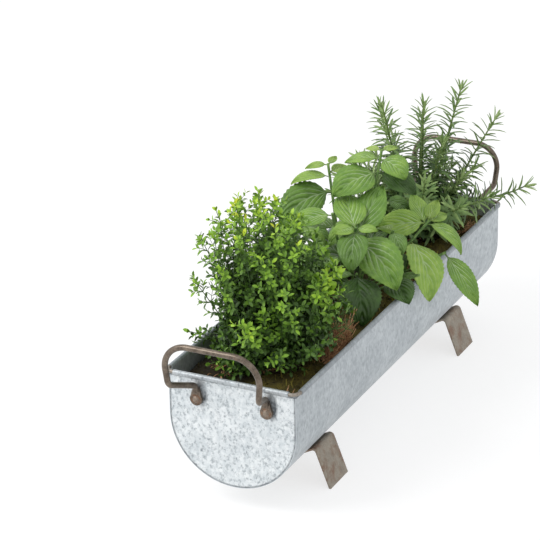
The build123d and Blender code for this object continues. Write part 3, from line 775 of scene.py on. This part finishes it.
print("thyme leaf:", len(thyme_faces), "faces")

# %% Grow the sprigs of thyme
outer_leaves, outer_twigs = [], []
inner_leaves, inner_twigs = [], []
for start, tip in thyme_sprigs:
    grow_thyme(outer_leaves, outer_twigs, start, tip, bare=0.0, side_share=0.62)

golden_turn = math.radians(137.5)
filling_count = 26
filling_size = 0.72
filling_start_mm = 30
for k in range(filling_count):
    reach = filling_size * math.sqrt((k + 0.5) / filling_count)
    height = filling_size * (1 - 0.7 * reach ** 1.9)
    flat = level_heading(k * golden_turn)
    start = roots["thyme"] + flat * reach * filling_start_mm * mm
    tip = roots["thyme"] + thyme_dome * (flat * reach + np.array([0, 0, height]))
    grow_thyme(inner_leaves, inner_twigs, start, tip, bare=0.35, side_share=0.6)

low_count = 46
low_first_turn = 0.4
rim_clear = 8 * mm
low_sprig_y = inside_y - 6 * mm
bare_headings = [(math.radians(236), 0.7), (math.radians(312), 0.88)]
bare_lift = 28 * mm
for k in range(low_count):
    turn = k * golden_turn + low_first_turn
    flat = level_heading(turn)
    reach = thyme_draw.uniform(46, 88) * mm
    height = thyme_draw.uniform(10, 52) * mm
    if any(math.cos(turn - heading) > nearness for heading, nearness in bare_headings):
        height += bare_lift
    start = roots["thyme"] + flat * thyme_draw.uniform(12, 25) * mm
    tip = roots["thyme"] + flat * reach + np.array([0, 0, height])
    if tip[2] < rim_high.z + rim_clear:
        tip[1] = np.clip(tip[1], -low_sprig_y, low_sprig_y)
    grow_thyme(inner_leaves, inner_twigs, start, tip, bare=0.25, side_share=0.62)
print("thyme twigs:", len(outer_twigs), "outer,", len(inner_twigs), "inner")

# %% Make the thyme
bare_low = np.array([-120 * mm, -55 * mm, rim_high.z + 2 * mm])
bare_high = np.array([-178 * mm, -92 * mm, rim_high.z + 34 * mm])
bare_reach = 20 * mm


def thyme_piece(name, leaves):
    """The leaves that have room, outside the bare gap over the heap of fibre, as one piece on the thyme."""
    tips = np.array([leaf[0] + unit(leaf[1]) * thyme_leaf_mm * mm * leaf[3] for leaf in leaves])
    outside = off_run(tips, bare_low, bare_high) > bare_reach
    room = [has_room(tip, thyme_low_x, thyme_high_x) for tip in tips]
    kept = [leaf for leaf, *clear in zip(leaves, outside, room) if all(clear)]
    origins, aheads, ups, sizes, tones = map(np.array, zip(*kept))
    curls = thyme_draw.uniform(0.1, 0.7, len(sizes))
    laid = lay_out(thyme_blade, origins, aheads, ups, sizes, curls)
    piece = copies_piece(name, thyme_blade, thyme_faces, laid, tones, thyme_leaf)
    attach(piece, "thyme")
    print(name, len(kept), "leaves")
    return piece


thyme_foliage = thyme_piece("thyme_foliage", outer_leaves)
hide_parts("thyme_sprigs")
thyme_piece("thyme_inner_foliage", inner_leaves)
thyme_twig_work = draw_twigs("thyme_twigs", outer_twigs + inner_twigs, barks["thyme"])
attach(thyme_twig_work, "thyme")

# %% [markdown]
# ## Rosemary
# Rosemary has stiff needles in close whorls that arch out and down from an upright twig, and shorter ones
# that stand up at its tip. The needles are leathery and green above, with a pale underside, and the growing
# tips are lighter. Every sprig of the frame becomes a twig: a low one sags and turns up at its end, and a
# tall one arches over a little. Short sprigs fill the middle.

# %% How a sprig of rosemary grows
rosemary_draw = np.random.default_rng(23)
needle_mm = 24.0
needle_rings = [(0, 0.9, 0.5), (6, 1.7, 0.7), (14, 1.8, 0.7), (20, 1.35, 0.5)]
needle_blade, needle_faces = model_blade(needle_rings, needle_mm, 0.2)
rosemary_low_x = 0.117
rosemary_high_x = 0.31
whorl_gap = 6.6 * mm
whorl_turn = 0.8
tip_needles = 16 * mm
needles = []
rosemary_twigs = []


def grow_rosemary(start, tip, bare, paleness):
    """Add one sprig: a twig that turns up or arches over, with a whorl of needles at each joint."""
    axis = unit(tip - start)
    upright = np.array([0, 0, 1]) - axis * axis[2]
    end = tip - axis * tip_needles
    sag = 0.08 * (1 - 1.6 * axis[2] ** 2)
    main = bowed(start, end, -upright * sag * np.linalg.norm(end - start), 6)
    rosemary_twigs.append((main, np.linspace(1.6, 0.9, 7) * mm))
    whorls = max(3, int(np.linalg.norm(end - start) * (1 - bare) / whorl_gap))
    for k in range(whorls + 1):
        share = bare + (1 - bare) * k / whorls
        place, heading = along(main, share)
        count = 4 if k < whorls else 6
        for n in range(count):
            turn = k * whorl_turn + n * 2 * math.pi / count + rosemary_draw.normal(0, 0.2)
            out = aside(heading, turn)
            spread = math.radians(rosemary_draw.normal(64 - 26 * share ** 4 - 16 * (k == whorls), 8))
            ahead = heading * math.cos(spread) + out * math.sin(spread)
            size = rosemary_draw.uniform(0.82, 1.12) * (1 - 0.28 * share ** 5)
            tone = np.clip(paleness + 0.2 + 0.42 * share + rosemary_draw.normal(0, 0.1), 0, 1)
            curl = rosemary_draw.normal(0.75, 0.2) * (1 - 0.6 * share ** 4)
            point = place + out * 0.6 * mm
            if has_room(point + ahead * needle_mm * mm * size, rosemary_low_x, rosemary_high_x):
                needles.append((point, ahead, heading - ahead * float(heading @ ahead), size, curl, tone))


print("rosemary needle:", len(needle_faces), "faces")

# %% Grow the rosemary
for start, tip in rosemary_sprigs:
    grow_rosemary(start, tip, bare=0.0, paleness=0.05)
short_sprigs = 24
for k in range(short_sprigs):
    flat = level_heading(k * golden_turn)
    start = roots["rosemary"] + flat * rosemary_draw.uniform(6, 24) * mm
    tip = roots["rosemary"] + flat * rosemary_draw.uniform(34, 74) * mm
    tip[2] += rosemary_draw.uniform(34, 96) * mm
    grow_rosemary(start, tip, bare=0.15, paleness=0.14)
origins, aheads, ups, sizes, curls, tones = map(np.array, zip(*needles))
laid = lay_out(needle_blade, origins, aheads, ups, sizes, curls)
rosemary_foliage = copies_piece(
    "rosemary_needles", needle_blade, needle_faces, laid, tones, needle_skin, paler_below=0.3)
rosemary_twig_work = draw_twigs("rosemary_twigs", rosemary_twigs, barks["rosemary"])
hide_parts("rosemary_sprigs")
for piece in (rosemary_foliage, rosemary_twig_work):
    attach(piece, "rosemary")
print("rosemary:", len(needles), "needles on", len(rosemary_twigs), "twigs")

# %% [markdown]
# ## Mint
# Mint leaves are large, soft and quilted: a pale midrib and long arched side veins are drawn in, and the
# tissue between them swells. The veins are whitest near the stalk and fade towards the edge and the tip. One
# leaf is laid out as a fine grid with its own map, on which the finish draws the veins.

# %% Mint veins
mint_leaf, tree, shader, in_mm = new_finish("mint_leaf_skin")
side_veins = 5
vein_arch = 0.8
vein_bend = 1.2
uv = add(tree, "SeparateXYZ", [add(tree, "UVMap", uv_map="blade")], out=None)
off_rib = add(tree, "Math", (uv[0], 2.0, -1.0), operation="MULTIPLY_ADD")
off_rib = add(tree, "Math", [off_rib], operation="ABSOLUTE")
arched = add(tree, "Math", (off_rib, vein_bend), operation="POWER")
arched = add(tree, "Math", (arched, -vein_arch, uv[1]), operation="MULTIPLY_ADD")
cycle = add(tree, "Math", (arched, side_veins), operation="MULTIPLY")
to_vein = add(tree, "Math", (cycle, 0.5), operation="PINGPONG")
side_vein = add(tree, "MapRange", (to_vein, 0.03, 0.15, 1, 0))
fading = add(tree, "MapRange", (off_rib, 0.35, 0.9, 0.9, 0))
side_vein = add(tree, "Math", (side_vein, fading), operation="MULTIPLY")
rib = add(tree, "MapRange", (off_rib, 0.01, 0.05, 0.9, 0))
vein = add(tree, "Math", (side_vein, rib), operation="MAXIMUM")
along_fade = add(tree, "MapRange", (uv[1], 0.2, 0.8, 0.8, 0.12))
vein_share = add(tree, "Math", (vein, along_fade), operation="MULTIPLY")
print("mint veins:", side_veins, "on each side")

# %% Mint leaf finish
mint_stops = [(0.0, "#213710"), (1.0, "#ADC862"), (0.3, "#436423"), (0.6, "#6D933D"), (0.8, "#8CAF4A")]
green, tone = leaf_green(tree, in_mm, mint_stops, 9, 4, 0.1)
vein_green = add(tree, "ValToRGB", [tone], [(0.2, "#4E7038"), (0.65, "#CADBB4")])
veined = add(tree, "Mix", {0: vein_share, 6: green, 7: vein_green}, data_type="RGBA", out=2)
to_edge = add(tree, "MapRange", (off_rib, 0.5, 1.0, 1, 0))
swell = add(tree, "MapRange", (to_vein, 0, 0.5, 0, 1), interpolation_type="SMOOTHSTEP")
swell = add(tree, "Math", (swell, to_edge), operation="MULTIPLY")
bump = add(tree, "Bump", {"Height": swell, "Strength": 0.8, "Distance": 0.6 * mm})
fill(tree, shader, {"Base Color": veined, "Roughness": 0.42, "Specular IOR Level": 0.4, "Normal": bump})
print("mint leaf finish ready")

# %% [markdown]
# Each plain leaf of the frame is a thin spindle of four-cornered rings between its base and its tip. The
# rings are found by walking the edges from the base, and each gives a point of the midrib and the direction
# across the blade. Smooth curves through those carry the fine leaf, so it lies where the plain one does. Its
# outline is an oval with a drawn-out tip and a saw edge, its halves fold up a little along the midrib, and
# the tissue sinks at every vein.


# %% Read the plain mint leaves
def steps_from(base, edges, count):
    """How many edges each point is away from the base."""
    level = np.full(count, -1)
    level[base] = 0
    for step in range(count):
        reached = edges[(level[edges] == step).any(1)].reshape(-1)
        level[reached[level[reached] < 0]] = step + 1
    return level


def read_leaf(points, edges):
    """A plain leaf's midrib from base to tip, the directions across its widest rings, and its width."""
    to_stem = np.min([off_run(points, *stem) for stem in mint_stems], axis=0)
    level = steps_from(to_stem.argmin(), edges, len(points))
    rib, across, lifts, widths = [], [], [], []
    for step in range(level.max() + 1):
        ring = points[level == step]
        gaps = np.linalg.norm(ring[:, None] - ring[None], axis=2)
        left, right = np.unravel_index(gaps.argmax(), gaps.shape)
        middle = np.delete(ring, (left, right), axis=0).mean(0) if len(ring) == 4 else ring.mean(0)
        rib.append(middle)
        if step > 1 and len(ring) == 4:
            side = ring[left] - ring[right]
            across.append(side if not across or side @ across[-1] > 0 else -side)
            lifts.append((ring[left] + ring[right]) / 2 - middle)
            widths.append(gaps.max())
    rib, across = np.array(rib), unit(np.array(across))
    widest = int(np.argmax(widths))
    if np.cross(across[widest], rib[-1] - rib[0]) @ lifts[widest] < 0:
        across = -across
    return rib, across, max(widths)


plain_leaves = [read_leaf(points, edges) for points, edges in loose_parts("mint_leaves")]
print("mint leaves:", len(plain_leaves), "widest", round(max(leaf[2] for leaf in plain_leaves), 4), "m")


# %% Mint leaves as grids
def leaf_grid(rows, columns, relief):
    """A flat grid, read back as its map across and along, its faces, its rows and the relief it carries."""
    start_fresh()
    bpy.ops.mesh.primitive_grid_add(x_subdivisions=columns, y_subdivisions=rows, size=1)
    flat, _, faces = take(bpy.context.object)
    return flat[:, 0] + 0.5, flat[:, 1] + 0.5, faces, rows, relief


fine_grid = leaf_grid(32, 26, 0.034)
plain_grid = leaf_grid(30, 12, 0.0)
leaf_stalk = 0.085
leaf_shoulder = 0.62
leaf_taper = 0.9
outline_most = 0.358
tooth_depth = 0.035
stalk_half_width = 0.9 * mm
rib_groove = 0.028
rib_groove_width = 0.14


def mint_points(rib, across, width, grid):
    """The points of one fine mint leaf on the midrib of a plain one."""
    leaf_u, leaf_v, _, leaf_rows, relief = grid
    run = np.concatenate([[0], np.cumsum(np.linalg.norm(np.diff(rib, axis=0), axis=1))])
    shares = run / run[-1]
    curve = np.polynomial.Polynomial
    ribs = [curve.fit(shares, rib[:, axis], 4) for axis in range(3)]
    sides = [curve.fit(shares[2:-1], across[:, axis], 2) for axis in range(3)]
    place = np.stack([fit(leaf_v) for fit in ribs], 1)
    ahead = unit(np.stack([fit.deriv()(leaf_v) for fit in ribs], 1))
    side = np.stack([fit(np.clip(leaf_v, shares[2], shares[-2])) for fit in sides], 1)
    side = unit(side - ahead * (side * ahead).sum(1, keepdims=True))
    up = np.cross(side, ahead)
    blade = np.clip((leaf_v - leaf_stalk) / (1 - leaf_stalk), 0, 1)
    outline = blade ** leaf_shoulder * (1 - blade) ** leaf_taper / outline_most
    teeth = 1 + tooth_depth * np.where(np.round(leaf_v * leaf_rows) % 2 == 0, 1, -1) * (blade > 0.05)
    half = np.maximum(outline * teeth * width / 2, stalk_half_width * (blade < 0.5))
    out = (leaf_u - 0.5) * 2
    off = np.abs(out)
    cycle = (leaf_v - vein_arch * off ** vein_bend) * side_veins
    fade = np.minimum(blade * 6, 1)
    quilt = -relief * width * (0.5 + 0.5 * np.cos(2 * np.pi * cycle)) * (1 - off ** 2) * fade
    groove = -rib_groove * width * np.exp(-(off / rib_groove_width) ** 2) * fade
    lift = half * (0.24 * off - 0.2 * off ** 2.6) + quilt + groove
    return place + side * (half * out)[:, None] + up * lift[:, None]


print("mint leaf grids:", len(fine_grid[2]), "and", len(plain_grid[2]), "faces")

# %% [markdown]
# Most leaves take their tone from where they are: small ones at the tips are bright, and those deep in the
# trough are dark. The leaves in the foreground are arranged one by one. Each is found by the place of its
# middle, rolled about its length, resized from its base and given a tone.

# %% Arrange the mint leaves
mint_draw = np.random.default_rng(5)
mint_middles = np.array([rib[len(rib) // 2] for rib, *_ in plain_leaves])
mint_lengths = [np.linalg.norm(rib[-1] - rib[0]) for rib, *_ in plain_leaves]
deep_from = rim_high.z + 45 * mm
deep_range = 50 * mm
young_below = 50 * mm
young_range = 30 * mm
bright_tone = 0.6


def mint_tone(middle, length):
    """How bright a leaf is: more for small young leaves, and darker deep in the trough with painted shade."""
    # painted shade: leaves low in the trough, inside the sheet, are darkened
    trough_shade = np.clip((deep_from - middle[2]) / deep_range, 0, 1) * (abs(middle[1]) < panel_radius)
    brightening = np.clip((young_below - length) / young_range, 0, 1)
    tone = 0.68 + 0.2 * brightening - 0.5 * trough_shade
    return float(np.clip(tone + mint_draw.normal(0, 0.05), 0.06, 1))


def arranged(rib, across, width, roll, size):
    """A leaf that is rolled about its length by that angle in degrees, and resized from its base."""
    turn = np.array(Matrix.Rotation(math.radians(roll), 3, Vector(rib[-1] - rib[0])))
    return rib[0] + (rib - rib[0]) * size, across @ turn.T, width * size


# Each row: the leaf's middle in millimetres, its roll, its size and its tone; the low tones are painted shade
# for leaves that lie under others
by_hand = [
    ((-1, -7, 233), 0, 1.0, 0.68),
    ((-51, -32, 210), 0, 0.82, 0.46),
    ((-27, -51, 194), 32, 1.1, 0.62),
    ((10, -24, 230), 15, 1.0, 0.56),
    ((11, 55, 228), -25, 1.0, 0.49),
    ((57, -40, 252), 0, 1.0, 0.20),
    ((53, -37, 270), 0, 1.0, 0.68),
    ((93, -26, 208), 0, 1.0, 0.40),
    ((70, -38, 195), -15, 1.0, 0.80),
    ((45, -79, 161), 15, 1.0, 0.82),
    ((80, -109, 137), 20, 1.0, 0.64),
    ((43, -50, 162), 0, 1.0, 0.30),
    ((6, -73, 163), 0, 1.0, 0.40),
    ((-22, -75, 160), 0, 1.0, 0.24),
    ((7, -61, 201), 0, 1.0, 0.50),
    ((-61, -46, 160), 0, 1.0, 0.15),
]
mint_tones = [mint_tone(middle, length) for middle, length in zip(mint_middles, mint_lengths)]
mint_grids = [fine_grid if tone > bright_tone else plain_grid for tone in mint_tones]
for place, roll, size, tone in by_hand:
    k = np.linalg.norm(mint_middles - np.array(place) * mm, axis=1).argmin()
    plain_leaves[k] = arranged(*plain_leaves[k], roll, size)
    mint_tones[k] = tone
    mint_grids[k] = fine_grid
print("mint tones from", round(min(mint_tones), 2), "to", round(max(mint_tones), 2))

# %% Grow the mint
counts = [len(grid[0]) for grid in mint_grids]
starts = np.cumsum([0] + counts[:-1])
all_points = np.concatenate([mint_points(*leaf, grid) for leaf, grid in zip(plain_leaves, mint_grids)])
all_faces = np.concatenate([grid[2] + start for grid, start in zip(mint_grids, starts)])
all_maps = np.concatenate([np.stack(grid[:2], 1) for grid in mint_grids])
all_tones = np.repeat(mint_tones, counts)
mint_foliage = new_piece("mint_foliage", all_points, all_faces, mint_leaf, all_tones, smooth_angle=80)
uv_layer = mint_foliage.data.uv_layers.new(name="blade")
uv_layer.data.foreach_set("uv", all_maps[all_faces.reshape(-1)].reshape(-1))
modify(mint_foliage, "SOLIDIFY", thickness=0.5 * mm, offset=-1)
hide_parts("mint_leaves")
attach(mint_foliage, "mint")
print("mint foliage:", len(mint_foliage.data.polygons), "faces")

# %% [markdown]
# ## Moss
# Dried moss covers the soil: a lumpy olive mat with short curly fronds, darkened along its left side with
# painted shade.
# The mat is a copy of the frame's plain slab, remeshed finely and pushed up and down by two cloud textures,
# so it keeps the holes that the root plugs lift out of. The fronds are a short blade, laid out in thousands
# over it.

# %% Moss finish
moss, tree, shader, in_mm = new_finish("dried_moss")
moss_stops = [(0.3, "#231D08"), (0.72, "#857A28"), (0.45, "#453D0E"), (0.58, "#655A17")]
clump_mm = 14
strand_mm = 1.3
clump = add(tree, "TexNoise", {"Vector": in_mm, "Scale": 1 / clump_mm, "Detail": 6, "Roughness": 0.65})
strand = add(tree, "TexNoise", {"Vector": in_mm, "Scale": 1 / strand_mm, "Detail": 4, "Roughness": 0.7})
mix = add(tree, "Mix", {0: 0.5, 2: clump, 3: strand})
tuft = add(tree, "ValToRGB", [mix], moss_stops)
place = add(tree, "SeparateXYZ", [in_mm], out=None)
# painted shade: the moss darkens towards its left side, where the thyme and the wall shade it
to_left = add(tree, "MapRange", (place["Y"], -8, 26, 0, 1))
left_shade_share = add(tree, "Math", (to_left, clump, to_left), operation="MULTIPLY_ADD")
left_shade_share = add(tree, "Math", (left_shade_share, 0.9), operation="MINIMUM")
left_shaded_moss = add(tree, "Mix", {0: left_shade_share, 6: tuft, 7: linear("#241B10")}, data_type="RGBA", out=2)
bump = add(tree, "Bump", {"Height": strand, "Strength": 0.9, "Distance": 1.2 * mm})
fill(tree, shader, {"Base Color": left_shaded_moss, "Roughness": 0.95, "Normal": bump})
print("moss finish ready")

# %% Moss mat
voxel = 2.4 * mm


def roughen(piece, name, lump_mm, height_mm, mid_level, direction):
    """Push a piece's surface in and out by a cloud texture."""
    clouds = bpy.data.textures.new(name, "CLOUDS")
    clouds.noise_scale = lump_mm * mm
    modify(
        piece, "DISPLACE", texture=clouds, texture_coords="LOCAL", direction=direction,
        mid_level=mid_level, strength=height_mm * mm)


moss_bed = merged_copy("moss_bed", "moss_mat")
coat(moss_bed, moss)
modify(moss_bed, "REMESH", mode="VOXEL", voxel_size=voxel, use_smooth_shade=True)
roughen(moss_bed, "lumps", 22, 5.0, 0.5, "Z")
roughen(moss_bed, "tufts", 6, 2.6, 0.5, "Z")
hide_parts("moss_mat")
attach(moss_bed, "planter")
print("moss mat:", len(moss_bed.data.polygons), "faces")

# %% Moss fronds
moss_draw = np.random.default_rng(3)
frond_blade, frond_faces = model_blade([(0, 0.35, 0.2), (3, 0.5, 0.25), (7, 0.4, 0.2)], 7.5, 0.1)
frond_finish = leaf_finish("moss_frond", [(0.0, "#2B240A"), (1.0, "#8F8536"), (0.5, "#574E14")], 0.85, 3)
frond_count = 5200
frond_sink = 1.5 * mm
moss_low, moss_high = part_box("moss_mat")
plug_low, plug_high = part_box("thyme_root_plug")
plug_edge = (plug_high.x - plug_low.x) / 2

xs = moss_draw.uniform(moss_low.x + leaf_margin, moss_high.x - leaf_margin, frond_count)
ys = moss_draw.uniform(moss_low.y + leaf_margin, moss_high.y - leaf_margin, frond_count)
off_plugs = [np.hypot(xs - root[0], ys - root[1]) > plug_edge + 3 * mm for root in roots.values()]
xs, ys = np.array([xs, ys])[:, np.all(off_plugs, axis=0)]
turns = moss_draw.uniform(0, 2 * math.pi, len(xs))
lift = moss_draw.uniform(0.15, 1.0, len(xs))
aheads = np.stack([np.cos(turns), np.sin(turns), lift], 1)
ups = np.stack([-np.cos(turns) * lift, -np.sin(turns) * lift, np.ones(len(xs))], 1)
places = np.stack([xs, ys, np.full(len(xs), moss_high.z - frond_sink)], 1)
sizes = moss_draw.uniform(0.6, 1.4, len(xs))
curls = moss_draw.normal(0.8, 0.7, len(xs))
laid = lay_out(frond_blade, places, aheads, ups, sizes, curls)
# painted shade: fronds darken towards the left side of the moss, as the mat does
brightening = 0.85 - 0.75 * np.clip((ys + 8 * mm) / (34 * mm), 0, 1)
tones = moss_draw.uniform(0, 1, len(xs)) * brightening
inside = np.abs(laid[:, :, 1]).max(1) < inside_y
fronds = copies_piece("moss_fronds", frond_blade, frond_faces, laid[inside], tones[inside], frond_finish)
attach(fronds, "planter")
print("moss fronds:", int(inside.sum()))

# %% [markdown]
# ## Coir and root balls
# The herbs came packed in coir. It covers the top of each root ball, and loose tufts of it lie on the moss,
# with a heap by the rim where the thyme leaves a bare gap. A root ball is a tapered cone, roughened by a
# cloud texture, which shows when the herb is lifted out.

# %% Coir fibres
coir_draw = np.random.default_rng(17)
loose_tufts = [
    (-148, -48, 12, 190, 0.9), (-134, -48, 9, 230, 1.0), (-268, -54, 5, 40, 0.4), (228, -57, 7, 50, 0.3),
    (60, -56, 14, 30, 0.3), (-225, 34, 16, 30, 0.3), (244, 20, 16, 40, 0.3), (-75, 44, 16, 40, 0.3),
    (110, 48, 14, 40, 0.3), (-128, -52, 6, 130, 1.8)]
fibre_margin = 3 * mm
fibre_start_y = inside_y - fibre_margin
fibre_end_y = inside_y - 2 * mm
piled_from = 0.5


def lay_coir(name, tufts, level, body):
    """Fibres in tufts of (x, y, spread, number, rise), in millimetres, as one piece on that body."""
    fibres = []
    for x, y, spread, number, lift in tufts:
        for _ in range(number):
            start = np.array([x + coir_draw.normal(0, spread), y + coir_draw.normal(0, spread / 2), 0]) * mm
            start[1] = np.clip(start[1], -fibre_start_y, fibre_start_y)
            start[2] = level + coir_draw.uniform(-2, 2) * mm
            turn = coir_draw.normal(0, 0.9 if lift > piled_from else 2.5)
            rise = lift * min(abs(coir_draw.normal(0, 0.8)), 1.2)
            heading = np.array([math.cos(turn), 0.6 * math.sin(turn), rise])
            end = start + coir_draw.uniform(8, 20) * mm * heading
            end[0] = np.clip(end[0], moss_low.x + fibre_margin, moss_high.x - fibre_margin)
            end[1] = np.clip(end[1], -fibre_end_y, fibre_end_y)
            bow = np.array([0, coir_draw.normal(0, 1), coir_draw.uniform(0, 3)]) * mm
            fibres.append((bowed(start, end, bow, 4), np.linspace(0.8, 0.4, 5) * mm))
    piece = draw_twigs(name, fibres, coir)
    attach(piece, body)
    print(name, len(fibres), "fibres")


lay_coir("coir_fibres", loose_tufts, moss_high.z, "planter")
for herb, root in roots.items():
    lay_coir(f"{herb}_plug_coir", [(root[0] / mm - 6, root[1] / mm, 11, 220, 0.25)], root[2], herb)

# %% Root balls
ball_bottom_radius = 24 * mm
ball_sides = 56
ball_rings = (0.15, 0.3, 0.45, 0.6, 0.75, 0.9)
for herb, root in roots.items():
    low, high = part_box(f"{herb}_root_plug")
    height = high.z - low.z
    start_fresh()
    bpy.ops.mesh.primitive_cone_add(
        vertices=ball_sides, radius1=ball_bottom_radius, radius2=plug_edge, depth=height,
        location=(root[0], root[1], (low.z + high.z) / 2))
    ball = bpy.context.object
    ball.name = f"{herb}_root_ball"
    bpy.ops.object.transform_apply(location=True, rotation=False, scale=False)
    bpy.ops.object.mode_set(mode="EDIT")
    for level in ball_rings:
        bpy.ops.mesh.select_all(action="SELECT")
        bpy.ops.mesh.bisect(plane_co=(root[0], root[1], low.z + level * height), plane_no=(0, 0, 1))
    bpy.ops.mesh.select_all(action="SELECT")
    bpy.ops.mesh.subdivide(number_cuts=1)
    bpy.ops.object.mode_set(mode="OBJECT")
    roughen(ball, f"{herb}_ball_crumbs", 5, 1.6, 1.0, "NORMAL")
    bpy.ops.object.shade_smooth_by_angle(angle=math.radians(60))
    coat(ball, root_ball)
    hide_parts(f"{herb}_root_plug")
    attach(ball, herb)
    print(ball.name, len(ball.data.polygons), "faces")
